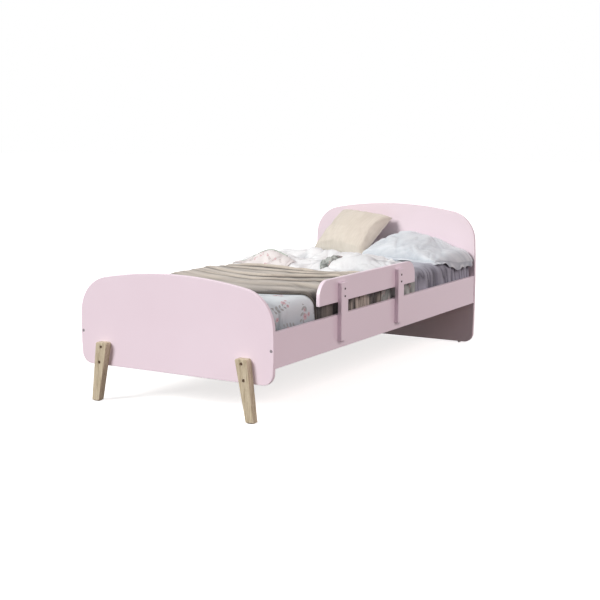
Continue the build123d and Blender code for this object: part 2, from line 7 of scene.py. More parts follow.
import bpy
import numpy as np
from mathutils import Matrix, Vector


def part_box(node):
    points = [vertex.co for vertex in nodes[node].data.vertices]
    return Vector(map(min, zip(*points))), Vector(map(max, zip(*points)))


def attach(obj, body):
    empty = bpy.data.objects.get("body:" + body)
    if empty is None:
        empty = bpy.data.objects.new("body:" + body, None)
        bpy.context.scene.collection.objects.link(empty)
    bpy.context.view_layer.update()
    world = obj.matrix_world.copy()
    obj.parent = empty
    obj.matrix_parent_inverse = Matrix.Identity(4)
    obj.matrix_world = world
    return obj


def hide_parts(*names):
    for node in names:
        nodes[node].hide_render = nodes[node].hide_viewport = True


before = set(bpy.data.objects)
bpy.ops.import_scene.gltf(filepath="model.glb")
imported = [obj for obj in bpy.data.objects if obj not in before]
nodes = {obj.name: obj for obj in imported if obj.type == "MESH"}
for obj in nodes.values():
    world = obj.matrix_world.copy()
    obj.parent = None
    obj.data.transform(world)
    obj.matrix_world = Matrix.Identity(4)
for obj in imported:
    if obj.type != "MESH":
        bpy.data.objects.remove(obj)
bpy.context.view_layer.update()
MM = 0.001

# --- Places taken from the CAD nodes --------------------------------------------------------------
mattress_low, mattress_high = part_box("mattress")
sheet_low, sheet_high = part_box("patterned_sheet")
guard_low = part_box("guard_board")[0]
headboard_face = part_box("headboard_panel")[0].y - 1 * MM
hook_spans = []
for end in ("foot", "head"):
    hook_low, hook_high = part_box(f"guard_hook_{end}")
    hook_spans.append((hook_low.y, hook_high.y))


# --- Small shape helpers --------------------------------------------------------------------------
def smooth(value, low=0.0, high=1.0):
    """0 below low, 1 above high, and a soft S between them."""
    share = np.clip((np.asarray(value, float) - low) / (high - low), 0, 1)
    return share * share * (3 - 2 * share)


def drift(along, across, size, seed):
    """A smooth random field from -1 to 1. Its hills are about as wide as size."""
    lattice = np.random.default_rng(seed).uniform(-1, 1, (64, 64))
    a, b = np.asarray(along) / size, np.asarray(across) / size
    i, j = np.floor(a).astype(int), np.floor(b).astype(int)
    a, b = smooth(a - i), smooth(b - j)
    low = lattice[i % 64, j % 64] * (1 - a) + lattice[(i + 1) % 64, j % 64] * a
    high = lattice[i % 64, (j + 1) % 64] * (1 - a) + lattice[(i + 1) % 64, (j + 1) % 64] * a
    return low * (1 - b) + high * b


def creases(along, across, size, seed):
    """Sharp ridges between round hollows, from 0 to 1, as cloth has where it is pinched."""
    return 1 - np.abs(drift(along, across, size, seed)) ** 0.7


def billows(along, across, size, seed):
    """Round hills between sharp valleys, from 0 to 1, as cloth has where it is pushed together."""
    return np.clip(1.25 * np.abs(drift(along, across, size, seed)) ** 0.6, 0, 1)


def make_object(name, points, faces, flat=None):
    """A smooth mesh, with a UV map that gives each corner's place on the flat cloth, in metres."""
    mesh = bpy.data.meshes.new(name)
    mesh.from_pydata([tuple(p) for p in points], [], [tuple(f) for f in faces])
    mesh.shade_smooth()
    if flat is not None:
        layer = mesh.uv_layers.new(name="flat_cloth")
        corner_points = np.zeros(len(mesh.loops), int)
        mesh.loops.foreach_get("vertex_index", corner_points)
        layer.data.foreach_set("uv", np.asarray(flat, np.float32)[corner_points].ravel())
    made = bpy.data.objects.new(name, mesh)
    bpy.context.scene.collection.objects.link(made)
    return made


def grid_faces(rows, columns, closed=False):
    """Four-sided faces over a grid of points; closed joins the last column to the first."""
    index = np.arange(rows * columns).reshape(rows, columns)
    right = np.roll(index, -1, axis=1) if closed else index[:, 1:]
    left = index if closed else index[:, :-1]
    corners = (left[:-1], right[:-1], right[1:], left[1:])
    return np.stack([c.ravel() for c in corners], axis=1)


def flat_places(grid):
    """How far each point of a grid lies from the first column and the first row, along the cloth."""
    across = np.linalg.norm(np.diff(grid, axis=1), axis=2)
    along = np.linalg.norm(np.diff(grid, axis=0), axis=2)
    u = np.concatenate([np.zeros((grid.shape[0], 1)), np.cumsum(across, axis=1)], axis=1)
    v = np.concatenate([np.zeros((1, grid.shape[1])), np.cumsum(along, axis=0)], axis=0)
    u = np.broadcast_to(u.mean(axis=0), u.shape)
    v = np.broadcast_to(v.mean(axis=1)[:, None], v.shape)
    return np.stack([u, v], axis=2)


def thicken(made, thickness):
    """Give a layer of cloth its thickness, on its outer side."""
    solid = made.modifiers.new("thickness", "SOLIDIFY")
    solid.thickness = thickness
    solid.offset = 1


def cloth(name, grid, thickness):
    """One layer of cloth over a grid of points."""
    rows, columns = grid.shape[:2]
    faces = grid_faces(rows, columns)
    made = make_object(name, grid.reshape(-1, 3), faces, flat_places(grid).reshape(-1, 2))
    thicken(made, thickness)
    return made


def two_layers(name, outer, inner):
    """A closed form of two layers that meet at their rim, with both layers as grids of points."""
    rows, columns = outer.shape[:2]
    rim = np.ones((rows, columns), bool)
    rim[1:-1, 1:-1] = False
    top = np.where(rim[..., None], (outer + inner) / 2, outer)
    points = np.concatenate([top.reshape(-1, 3), inner[1:-1, 1:-1].reshape(-1, 3)])
    under = np.arange(rows * columns).reshape(rows, columns)
    under[1:-1, 1:-1] = rows * columns + np.arange((rows - 2) * (columns - 2)).reshape(rows - 2, columns - 2)
    upper_faces = grid_faces(rows, columns)
    lower_faces = under.ravel()[upper_faces][:, ::-1]
    flat = flat_places(top)
    flat_all = np.concatenate([flat.reshape(-1, 2), flat[1:-1, 1:-1].reshape(-1, 2)])
    return make_object(name, points, np.concatenate([upper_faces, lower_faces]), flat_all)


def piping(name, path, radius, closed=False, sides=8):
    """A round cord of cloth along a path, as a sewn edge has."""
    path = np.asarray(path, float)
    if closed:
        ahead, behind = np.roll(path, -1, axis=0), np.roll(path, 1, axis=0)
    else:
        ahead, behind = np.vstack([path[1:], path[-1:]]), np.vstack([path[:1], path[:-1]])
    forward = ahead - behind
    forward /= np.linalg.norm(forward, axis=1)[:, None]
    helper = np.where(np.abs(forward[:, 2:3]) > 0.8, [[1.0, 0.0, 0.0]], [[0.0, 0.0, 1.0]])
    side = np.cross(forward, helper)
    side /= np.linalg.norm(side, axis=1)[:, None]
    up = np.cross(side, forward)
    turn = np.linspace(0, 2 * math.pi, sides, endpoint=False)
    ring = side[:, None] * np.cos(turn)[None, :, None] + up[:, None] * np.sin(turn)[None, :, None]
    grid = path[:, None] + radius * ring
    faces = grid_faces(len(path), sides, closed=True)
    if closed:
        last = (len(path) - 1) * sides + np.arange(sides)
        first = np.arange(sides)
        seam = np.stack([last, np.roll(last, -1), np.roll(first, -1), first], axis=1)
        faces = [*faces, *seam]
    else:
        faces = [*faces, range(sides)[::-1], range((len(path) - 1) * sides, len(path) * sides)]
    return make_object(name, grid.reshape(-1, 3), faces, flat_places(grid).reshape(-1, 2))


def line_across(half, top, corner, left_end, right_end, step):
    """A line across the bed: up the left side, over the top and down the right side.

    left_end and right_end are where it stops, as distances along the line from the bed's middle.
    Returns evenly spaced points (X, Z), the outward directions there, and the distances."""
    turn = np.linspace(0, math.pi / 2, 12)
    middle_x, middle_z = half - corner, top - corner
    right_arc = np.stack([middle_x + corner * np.sin(turn), middle_z + corner * np.cos(turn)], axis=1)
    right_side = np.vstack([[0, top], right_arc, [half, top - 1.0]])
    left_side = right_side[::-1] * [-1, 1]
    whole = np.vstack([left_side[:-1], right_side])
    steps = np.linalg.norm(np.diff(whole, axis=0), axis=1)
    distance = np.concatenate([[0], np.cumsum(steps)])
    distance -= distance[len(left_side) - 1]
    wanted = np.linspace(left_end, right_end, int(round((right_end - left_end) / step)) + 1)
    points = np.stack([np.interp(wanted, distance, whole[:, axis]) for axis in (0, 1)], axis=1)
    forward = np.gradient(points, axis=0)
    forward /= np.linalg.norm(forward, axis=1)[:, None]
    outward = np.stack([-forward[:, 1], forward[:, 0]], axis=1)
    return points, outward, wanted


def reach(half, top, corner, height):
    """The distance along a line across the bed, from its middle to a height on its side."""
    return half - corner + corner * math.pi / 2 + (top - corner - height)


def spread(line, foot, head, rows):
    """Points of a cloth along a line across the bed, between its foot and head edges, and their places."""
    points, outward, wanted = line
    share = np.linspace(0, 1, rows)[:, None]
    y = foot[None, :] * (1 - share) + head[None, :] * share
    x = np.broadcast_to(points[:, 0], y.shape)
    z = np.broadcast_to(points[:, 1], y.shape)
    return np.stack([x, y, z], axis=2), outward, np.broadcast_to(wanted, y.shape)


def lifted(grid, outward, lift):
    """The grid's points moved outwards, square to the line across the bed."""
    direction = np.stack([outward[:, 0], np.zeros(len(outward)), outward[:, 1]], axis=1)
    return grid + direction[None] * lift[..., None]


def rim_share(grid, width):
    """0 on the grid's rim, rising like a quarter circle to 1 at a width from it."""
    flat = flat_places(grid)
    u, v = flat[..., 0], flat[..., 1]
    nearest = np.minimum(np.minimum(u, u.max() - u), np.minimum(v, v.max() - v))
    share = np.clip(nearest / width, 0, 1)
    return np.sqrt(1 - (1 - share) ** 2)


def points_of(made):
    """The places of a mesh's points."""
    return np.array([v.co for v in made.data.vertices])


def place_points(made, points):
    """Give a mesh's points new places."""
    made.data.vertices.foreach_set("co", np.asarray(points, np.float32).ravel())
    made.data.update()


def beside_hooks(y, spans):
    """1 along the bed where a hook plate hangs close to the bedding, and 0 past a short fade."""
    fade = 30 * MM
    near = np.zeros_like(y)
    for low, high in spans:
        near = np.maximum(near, smooth(y, low - fade, low) * (1 - smooth(y, high, high + fade)))
    return near


def settle(made, pressure, frames, cap, stiffness=15):
    """Let a closed cloth form swell and pucker, and keep each point within a cap of where it began."""
    began = points_of(made)
    swell = made.modifiers.new("swell", "CLOTH")
    swell.settings.quality = 5
    swell.settings.use_pressure = True
    swell.settings.uniform_pressure_force = pressure
    swell.settings.tension_stiffness = stiffness
    swell.settings.compression_stiffness = stiffness
    swell.settings.bending_stiffness = 0.1
    swell.settings.effector_weights.gravity = 0
    swell.point_cache.frame_start = 1
    swell.point_cache.frame_end = frames
    for number in range(1, frames + 1):
        bpy.context.scene.frame_set(number)
    seen = made.evaluated_get(bpy.context.evaluated_depsgraph_get())
    ended = points_of(seen)
    made.modifiers.remove(swell)
    bpy.context.scene.frame_set(1)
    moved = ended - began
    length = np.linalg.norm(moved, axis=1)
    moved *= np.minimum(1, cap / np.maximum(length, 1e-9))[:, None]
    place_points(made, began + moved)


def keep_painted_light(made, painted_light_level):
    """Keep each point's painted light level: full painted shade at 0, in folds and shadow, none at 1, on
    crests.
    """
    values = np.asarray(painted_light_level, np.float32)
    if values.ndim == 2:
        values = np.concatenate([values.ravel(), values[1:-1, 1:-1].ravel()])
    layer = made.data.attributes.new("painted_light_level", "FLOAT", "POINT")
    layer.data.foreach_set("value", np.resize(values, len(layer.data)))


def soften(made):
    """Round a mesh off with one subdivision."""
    subdivision = made.modifiers.new("soften", "SUBSURF")
    subdivision.levels = 1
    subdivision.render_levels = 1


# --- Materials ------------------------------------------------------------------------------------
# A Mix node's sockets for colours and for vectors share their names, so they are given by number.
COLOUR_A, COLOUR_B, MIXED_COLOUR = 6, 7, 2
VECTOR_A, VECTOR_B, MIXED_VECTOR = 4, 5, 1


def colour(code):
    """An sRGB hex colour as linear red, green, blue and full opacity."""
    parts = [int(code[i:i + 2], 16) / 255 for i in (1, 3, 5)]
    return [p / 12.92 if p <= 0.04045 else ((p + 0.055) / 1.055) ** 2.4 for p in parts] + [1.0]


def feed(tree, node, inputs):
    """Set a node's inputs. Each is a value, the output that feeds it, or a node whose first output does."""
    for name, value in inputs.items():
        if isinstance(value, bpy.types.Node):
            value = value.outputs[0]
        if isinstance(value, bpy.types.NodeSocket):
            tree.links.new(value, node.inputs[name])
        else:
            node.inputs[name].default_value = value


def add(tree, kind, inputs=None, stops=(), **settings):
    """Add a node with its settings and inputs. stops are a colour ramp's places and hex colours."""
    made = tree.nodes.new("ShaderNode" + kind)
    for name, value in settings.items():
        setattr(made, name, value)
    feed(tree, made, inputs or {})
    for number, (place, code) in enumerate(stops):
        band = made.color_ramp.elements
        element = band[number] if number < len(band) else band.new(place)
        element.position = place
        element.color = colour(code)
    return made


def start_material(name, finish):
    """A material with a Principled shader, whose uniform values sit on its own sockets."""
    made = bpy.data.materials.new(name)
    made.use_nodes = True
    shader = made.node_tree.nodes["Principled BSDF"]
    feed(made.node_tree, shader, finish)
    return made, made.node_tree, shader


def two_tones(codes):
    """Ramp stops that turn a noise into a soft change between two close colours."""
    return [(0.3, codes[0]), (0.7, codes[1])]


def satin_lacquer(name, codes, roughness=0.42):
    """A sprayed satin coat, lacquer on fine board or powder on steel: even, with a faint orange peel."""
    made, tree, shader = start_material(
        name, {"Roughness": roughness, "Coat Weight": 0.12, "Coat Roughness": 0.3})
    place = add(tree, "TexCoord").outputs["Object"]
    cloudy = add(tree, "TexNoise", {"Vector": place, "Scale": 1 / (350 * MM), "Detail": 2.0})
    peel = add(tree, "TexNoise", {"Vector": place, "Scale": 1 / (3.5 * MM), "Detail": 1.0})
    feed(tree, shader, {
        "Base Color": add(tree, "ValToRGB", {"Fac": cloudy}, stops=two_tones(codes)),
        "Normal": add(tree, "Bump", {"Height": peel, "Strength": 0.12, "Distance": 0.08 * MM}),
    })
    return made


def grain_wood(name, light, middle, dark, direction, line_mm):
    """Planed solid wood: growth lines along the grain, fine pores, and a matt oiled face."""
    made, tree, shader = start_material(name, {"Roughness": 0.6})
    place = add(tree, "TexCoord").outputs["Object"]
    stretch = [1.0, 1.0, 1.0]
    stretch["XYZ".index(direction)] = 0.06
    along = add(tree, "Mapping", {"Vector": place, "Scale": stretch})
    wander = add(tree, "TexNoise", {"Vector": along, "Scale": 1 / (30 * MM), "Detail": 2.0}).outputs["Color"]
    bent = add(tree, "Mix", {"Factor": 0.012, VECTOR_A: along, VECTOR_B: wander}, data_type="VECTOR")
    lines = add(tree, "TexNoise", {"Vector": bent.outputs[MIXED_VECTOR], "Scale": 1 / (line_mm * MM),
                                   "Detail": 3.0, "Roughness": 0.6})
    pores = add(tree, "TexNoise", {"Vector": along, "Scale": 1 / (0.9 * MM), "Detail": 1.0})
    line_tone = add(tree, "ValToRGB", {"Fac": lines}, stops=[(0.3, dark), (0.5, middle), (0.72, light)])
    pore_tone = add(tree, "ValToRGB", {"Fac": pores}, stops=[(0.28, "#9A8568"), (0.42, "#FFFFFF")])
    tone = add(tree, "Mix", {"Factor": 0.5, COLOUR_A: line_tone, COLOUR_B: pore_tone},
               data_type="RGBA", blend_type="MULTIPLY")
    feed(tree, shader, {
        "Base Color": tone.outputs[MIXED_COLOUR],
        "Normal": add(tree, "Bump", {"Height": lines, "Strength": 0.25, "Distance": 0.25 * MM}),
    })
    return made


def machined_steel(name, codes, roughness):
    """Turned and plated steel: fine turning marks that break up its reflections."""
    made, tree, shader = start_material(name, {"Metallic": 1.0, "Roughness": roughness})
    place = add(tree, "TexCoord").outputs["Object"]
    marks = add(tree, "TexNoise", {"Vector": place, "Scale": 1 / (0.8 * MM), "Detail": 2.0})
    feed(tree, shader, {
        "Base Color": add(tree, "ValToRGB", {"Fac": marks}, stops=two_tones(codes)),
        "Normal": add(tree, "Bump", {"Height": marks, "Strength": 0.2, "Distance": 0.05 * MM}),
    })
    return made


def moulded_plastic(name, codes):
    """Moulded polyethylene: waxy, slightly uneven."""
    made, tree, shader = start_material(name, {"Roughness": 0.5, "IOR": 1.5})
    place = add(tree, "TexCoord").outputs["Object"]
    uneven = add(tree, "TexNoise", {"Vector": place, "Scale": 1 / (4 * MM), "Detail": 2.0})
    feed(tree, shader, {
        "Base Color": add(tree, "ValToRGB", {"Fac": uneven}, stops=two_tones(codes)),
        "Normal": add(tree, "Bump", {"Height": uneven, "Strength": 0.1, "Distance": 0.1 * MM}),
    })
    return made


def woven(name, codes, thread_mm, roughness=0.85, sheen=0.25, on_cloth=True, slub=0.3, depth_mm=0.25,
          painted_shade_code=None, sprigs=None):
    """Woven cloth: crossing threads, thicker slubs here and there, and a faint fuzz along its folds.

    The threads are really about a third of thread_mm apart, and are drawn coarser so that they show.
    on_cloth lays the weave along the flat cloth, and otherwise it lies along the piece's axes.
    The shade colour, if given, is painted shade for fold bottoms and shaded places, by the painted light
    level.
    sprigs are the sizes and colours of a printed pattern."""
    made, tree, shader = start_material(
        name, {"Roughness": roughness, "Sheen Weight": sheen, "Sheen Roughness": 0.5})
    place = add(tree, "TexCoord").outputs["UV" if on_cloth else "Object"]
    waves = {"Vector": place, "Scale": 2 * math.pi / (20 * thread_mm * MM), "Distortion": 0.6, "Detail": 1.0}
    warp = add(tree, "TexWave", waves, bands_direction="X").outputs["Fac"]
    weft = add(tree, "TexWave", waves, bands_direction="Y").outputs["Fac"]
    threads = add(tree, "Math", {0: warp, 1: weft}, operation="MAXIMUM")
    stretched = add(tree, "Mapping", {"Vector": place, "Scale": (1.0, 0.08, 1.0)})
    slubs = add(tree, "TexNoise", {"Vector": stretched, "Scale": 1 / (2.5 * thread_mm * MM), "Detail": 2.0})
    cloudy = add(tree, "TexNoise", {"Vector": place, "Scale": 1 / (120 * MM), "Detail": 3.0})
    clouds = add(tree, "Math", {0: cloudy, 1: 1 - slub}, operation="MULTIPLY")
    wear = add(tree, "Math", {0: slubs, 1: slub, 2: clouds}, operation="MULTIPLY_ADD")
    tone = add(tree, "ValToRGB", {"Fac": wear}, stops=two_tones(codes)).outputs["Color"]
    # Painted shade: the cloth darkens towards the shade colour where the mesh's painted light level is low.
    if painted_shade_code:
        painted_light_level = add(tree, "Attribute", attribute_name="painted_light_level").outputs["Fac"]
        painted_shade_tone = add(tree, "ValToRGB", {"Fac": painted_light_level}, stops=[(0.0, painted_shade_code), (1.0, "#FFFFFF")])
        painted_shade_mix = add(tree, "Mix", {"Factor": 1.0, COLOUR_A: tone, COLOUR_B: painted_shade_tone},
                     data_type="RGBA", blend_type="MULTIPLY")
        tone = painted_shade_mix.outputs[MIXED_COLOUR]
    if sprigs:
        tone = print_sprigs(tree, place, tone, **sprigs)
    height = add(tree, "Math", {0: slubs, 1: 0.5, 2: threads}, operation="MULTIPLY_ADD")
    feed(tree, shader, {
        "Base Color": tone,
        "Normal": add(tree, "Bump", {"Height": height, "Strength": 0.5, "Distance": depth_mm * MM}),
    })
    return made


def scatter(tree, place, spacing_mm, shift):
    """Places for a printed motif: a point's own X and Y from the nearest motif, and that motif's number."""
    moved = add(tree, "Mapping", {"Vector": place, "Location": (shift, 2 * shift, 0)})
    cells = add(tree, "TexVoronoi", {"Vector": moved, "Scale": 1 / (spacing_mm * MM), "Randomness": 0.7},
                voronoi_dimensions="2D")
    from_middle = add(tree, "VectorMath", {0: moved, 1: cells.outputs["Position"]}, operation="SUBTRACT")
    numbers = add(tree, "SeparateColor", {"Color": cells.outputs["Color"]})
    turn = add(tree, "Math", {0: numbers.outputs["Red"], 1: 2 * math.pi}, operation="MULTIPLY")
    turned = add(tree, "VectorRotate", {"Vector": from_middle, "Angle": turn}, rotation_type="Z_AXIS")
    parts = add(tree, "SeparateXYZ", {"Vector": turned})
    return parts.outputs["X"], parts.outputs["Y"], numbers.outputs["Green"]


def from_origin(tree, x, y):
    """The distance from a motif's middle."""
    y_squared = add(tree, "Math", {0: y, 1: y}, operation="MULTIPLY")
    both = add(tree, "Math", {0: x, 1: x, 2: y_squared}, operation="MULTIPLY_ADD")
    return add(tree, "Math", {0: both}, operation="SQRT")


def inside(tree, edge, distance, softness):
    """1 where a distance is well short of an edge and 0 past it, with a soft printed edge."""
    short_of = add(tree, "Math", {0: edge, 1: distance}, operation="SUBTRACT")
    return add(tree, "MapRange", {"Value": short_of, "From Min": 0.0, "From Max": softness})


def blossom(tree, x, y, size_mm):
    """A flower with five round petals about its middle."""
    angle = add(tree, "Math", {0: y, 1: x}, operation="ARCTAN2")
    from_petal_line = add(tree, "Math", {0: angle, 1: math.pi / 5}, operation="PINGPONG")
    distance = from_origin(tree, x, y)
    forward = add(tree, "Math", {0: from_petal_line}, operation="COSINE")
    sideways = add(tree, "Math", {0: from_petal_line}, operation="SINE")
    along = add(tree, "Math", {0: distance, 1: forward, 2: -0.27 * size_mm * MM}, operation="MULTIPLY_ADD")
    beside = add(tree, "Math", {0: distance, 1: sideways}, operation="MULTIPLY")
    return inside(tree, 0.22 * size_mm * MM, from_origin(tree, along, beside), 0.05 * size_mm * MM)


def leaf_branch(tree, x, y, length_mm, leaf_mm):
    """A bent stem with pairs of slanting leaves that get smaller towards its tip."""
    x_squared = add(tree, "Math", {0: x, 1: x}, operation="MULTIPLY")
    sag = add(tree, "Math", {0: x_squared, 1: 2.5}, operation="MULTIPLY")
    from_stem = add(tree, "Math", {0: y, 1: sag}, operation="SUBTRACT")
    beside = add(tree, "Math", {0: from_stem}, operation="ABSOLUTE")
    share = add(tree, "Math", {0: x, 1: 1 / (length_mm * MM), 2: 0.5}, operation="MULTIPLY_ADD")
    leaf_number = add(tree, "Math", {0: x, 1: 1 / (leaf_mm * MM)}, operation="MULTIPLY")
    past_leaf = add(tree, "Math", {0: leaf_number}, operation="FRACT")
    along = add(tree, "Math", {0: past_leaf, 1: 0.5}, operation="SUBTRACT")
    out = add(tree, "Math", {0: beside, 1: 1 / (leaf_mm * MM), 2: -0.42}, operation="MULTIPLY_ADD")
    slant = add(tree, "Math", {0: along, 1: out}, operation="ADD")
    across = add(tree, "Math", {0: out, 1: along}, operation="SUBTRACT")
    lengthwise = add(tree, "Math", {0: slant, 1: 0.707 / 0.60}, operation="MULTIPLY")
    crosswise = add(tree, "Math", {0: across, 1: 0.707 / 0.32}, operation="MULTIPLY")
    size = add(tree, "Math", {0: share, 1: -0.55, 2: 1.0}, operation="MULTIPLY_ADD")
    leaves = inside(tree, size, from_origin(tree, lengthwise, crosswise), 0.1)
    stem = inside(tree, 0.9 * MM, beside, 0.8 * MM)
    both = add(tree, "Math", {0: leaves, 1: stem}, operation="MAXIMUM")
    return add(tree, "Math", {0: both, 1: between(tree, share, 0.0, 1.0)}, operation="MULTIPLY")


def between(tree, number, low, high):
    """1 where a number lies between two limits."""
    above = add(tree, "Math", {0: number, 1: low}, operation="GREATER_THAN")
    below = add(tree, "Math", {0: number, 1: high}, operation="LESS_THAN")
    return add(tree, "Math", {0: above, 1: below}, operation="MULTIPLY")


def print_on(tree, tone, motif, share, code):
    """A tone with a colour printed over a share of it where the motif is."""
    mask = add(tree, "Math", {0: motif, 1: share}, operation="MULTIPLY")
    printed = add(tree, "Mix", {"Factor": mask, COLOUR_A: tone, COLOUR_B: colour(code)}, data_type="RGBA")
    return printed.outputs[MIXED_COLOUR]


def print_sprigs(tree, place, tone, spacing_mm, flower_mm, branch_mm, flower_code, branch_code, centre_code):
    """A tone with a scattered print of small groups of blossoms and leafy branches, turned all ways."""
    x, y, number = scatter(tree, place, spacing_mm, 0.31)
    branch = leaf_branch(tree, x, y, branch_mm, branch_mm / 5)
    kept = add(tree, "Math", {0: branch, 1: between(tree, number, 0.0, 0.62)}, operation="MULTIPLY")
    tone = print_on(tree, tone, kept, 0.7, branch_code)
    x, y, number = scatter(tree, place, 0.8 * spacing_mm, 1.73)
    here = between(tree, number, 0.35, 1.0)
    for shift_x, shift_y, share in ((0.0, 0.0, 1.0), (0.85, 0.35, 0.7), (-0.30, 0.85, 0.55)):
        own_x = add(tree, "Math", {0: x, 1: shift_x * flower_mm * MM}, operation="ADD")
        own_y = add(tree, "Math", {0: y, 1: shift_y * flower_mm * MM}, operation="ADD")
        petals = blossom(tree, own_x, own_y, share * flower_mm)
        flower = add(tree, "Math", {0: petals, 1: here}, operation="MULTIPLY")
        tone = print_on(tree, tone, flower, 0.8, flower_code)
        dot_size = 0.25 * share * flower_mm * MM
        dot = inside(tree, dot_size / 2, from_origin(tree, own_x, own_y), 0.1 * dot_size)
        tone = print_on(tree, tone, dot, here, centre_code)
    return tone


cotton = {"thread_mm": 1.6, "roughness": 0.8, "sheen": 0.1}
pink = satin_lacquer("pink_satin_lacquer", ("#ECDCE7", "#EFE0EB"))
# The headboard takes a slightly darker, greyer copy of the lacquer: painted shade that tones down its light.
pink_shaded_head = satin_lacquer("pink_satin_lacquer_painted_shade_head", ("#E7D8E0", "#EBDCE4"))
pink_powder = satin_lacquer("pink_powder_coat", ("#E9D7E0", "#ECDBE4"), roughness=0.5)
leg_oak = grain_wood("oiled_oak", "#D4CBB4", "#C4B89D", "#9D8E72", "Z", line_mm=5)
slat_pine_x = grain_wood("planed_pine_slats", "#EAD9B5", "#E2CDA3", "#CFB384", "X", line_mm=6)
ledge_pine_y = grain_wood("planed_pine_ledges", "#EAD9B5", "#E0CA9F", "#CFB384", "Y", line_mm=6)
dowel_beech = grain_wood("turned_beech", "#DDBF93", "#D2B083", "#BF9A6C", "Y", line_mm=3)
dark_steel = machined_steel("blackened_steel", ("#4A4146", "#5B5056"), 0.42)
bronzed_steel = machined_steel("bronzed_steel", ("#3E322A", "#7A6655"), 0.28)
grey_steel = machined_steel("grey_steel", ("#6B656A", "#A29CA0"), 0.30)
zinc_steel = machined_steel("zinc_plated_steel", ("#B9BABD", "#CFCFCC"), 0.35)
glide_white = moulded_plastic("polyethylene", ("#E2E2DD", "#EBEBE7"))
felt = woven("pressed_felt", ("#6E6864", "#7C7571"), 1.5, on_cloth=False, slub=0.7)
tape_cotton = woven("cotton_webbing", ("#E1DCCF", "#EDE9DF"), 2.0, on_cloth=False)
ticking = woven("mattress_ticking", ("#E6E6E3", "#F1F1EE"), 4.0, depth_mm=0.6)
# The darkest colour given to each cloth below is painted shade, for its folds and shaded places.
white = woven("white_cotton", ("#E3E6E8", "#EEF0F1"), painted_shade_code="#A9AEB3", **cotton)
edge_cotton = woven("edge_tape_cotton", ("#AEB9B0", "#BCC6BE"), **cotton)
pillow_cotton = woven("pillow_cotton", ("#D1D8DD", "#DDE2E6"), painted_shade_code="#A5ADB8", **cotton)
grey = woven("grey_cotton", ("#9D9FAD", "#ADAFBC"), 1.8, sheen=0.2, slub=0.4, painted_shade_code="#5C5964")
linen = woven("beige_linen", ("#D0C9BC", "#DCD5CA"), 2.6, sheen=0.2, slub=0.6, depth_mm=0.4, painted_shade_code="#A89A88")
taupe = woven(
    "taupe_linen_cotton", ("#BDB4A7", "#CFC7BA"), 2.2, sheen=0.3, slub=0.5, depth_mm=0.35, painted_shade_code="#1B1511")
sprig = woven(
    "sprig_cotton", ("#D2DCE2", "#E0E8EC"), 1.6, roughness=0.75, sheen=0.1, painted_shade_code="#8E989C",
    sprigs={"spacing_mm": 140, "flower_mm": 32, "branch_mm": 130,
            "flower_code": "#CDA7AE", "branch_code": "#8B8A89", "centre_code": "#8C6A72"})
small_sprig = woven(
    "small_sprig_cotton", ("#DFDBDA", "#E9E5E4"), painted_shade_code="#B9B0B0", **cotton,
    sprigs={"spacing_mm": 50, "flower_mm": 13, "branch_mm": 40,
            "flower_code": "#D6AEB3", "branch_code": "#A59895", "centre_code": "#7E5A60"})
pale_sprig = woven(
    "pale_sprig_cotton", ("#B6BCB8", "#C6CBC7"), painted_shade_code="#59605C", **cotton,
    sprigs={"spacing_mm": 64, "flower_mm": 16, "branch_mm": 48,
            "flower_code": "#B9A3A2", "branch_code": "#7F8682", "centre_code": "#8F7577"})


def paint(made, material):
    """Give a piece one material."""
    made.data.materials.clear()
    made.data.materials.append(material)


node_finishes = {
    pink_shaded_head: ["headboard_panel"],
    pink: ["footboard_panel", "side_rail_left", "side_rail_right", "guard_board",
           "guard_post_foot", "guard_post_head"],
    pink_powder: ["guard_hook_foot", "guard_hook_head"],
    leg_oak: ["leg_left", "leg_right"],
    slat_pine_x: [f"slat_{number:02d}" for number in range(1, 15)],
    ledge_pine_y: ["slat_ledge_left", "slat_ledge_right"],
    dowel_beech: ["wooden_dowels"],
    dark_steel: ["guard_bolts"],
    bronzed_steel: ["leg_bolts"],
    grey_steel: ["rail_bolts"],
    zinc_steel: ["leg_sleeve_nuts", "rail_cross_dowels", "guard_sleeve_nuts", "hook_screws", "ledge_screws",
                 "slat_end_screws", "tape_staples"],
    glide_white: ["headboard_glides"],
    felt: ["leg_glides"],
    tape_cotton: ["slat_tape_left", "slat_tape_right"],
}
for material, names in node_finishes.items():
    for name in names:
        paint(nodes[name], material)


# --- Mattress and its fitted sheet ----------------------------------------------------------------
mattress_middle_y = (mattress_low.y + mattress_high.y) / 2
mattress_half_y = (mattress_high.y - mattress_low.y) / 2
corner_radius = 70 * MM


def bed_rings(half_x, half_y, corner, profile, side_points=220, end_points=100, corner_points=14):
    """Rounded rectangles, one for each (inset, height) of a profile, as a grid of points."""
    side_share = np.linspace(-1, 1, side_points + 1)[:-1]
    end_share = np.linspace(-1, 1, end_points + 1)[:-1]
    turn = np.linspace(0, math.pi / 2, corner_points + 1)[:-1]
    rings = []
    for inset, height in profile:
        hx, hy = half_x - inset, half_y - inset
        c = max(corner - inset, 1 * MM)
        parts = [
            (np.full(side_points, hx), side_share * (hy - c)),
            (hx - c + c * np.cos(turn), hy - c + c * np.sin(turn)),
            (-end_share * (hx - c), np.full(end_points, hy)),
            (-(hx - c) - c * np.sin(turn), hy - c + c * np.cos(turn)),
            (np.full(side_points, -hx), -side_share * (hy - c)),
            (-(hx - c) - c * np.cos(turn), -(hy - c) - c * np.sin(turn)),
            (end_share * (hx - c), np.full(end_points, -hy)),
            (hx - c + c * np.sin(turn), -(hy - c) - c * np.cos(turn)),
        ]
        x = np.concatenate([p[0] for p in parts])
        y = np.concatenate([p[1] for p in parts]) + mattress_middle_y
        rings.append(np.stack([x, y, np.full_like(x, height)], axis=1))
    return np.array(rings)


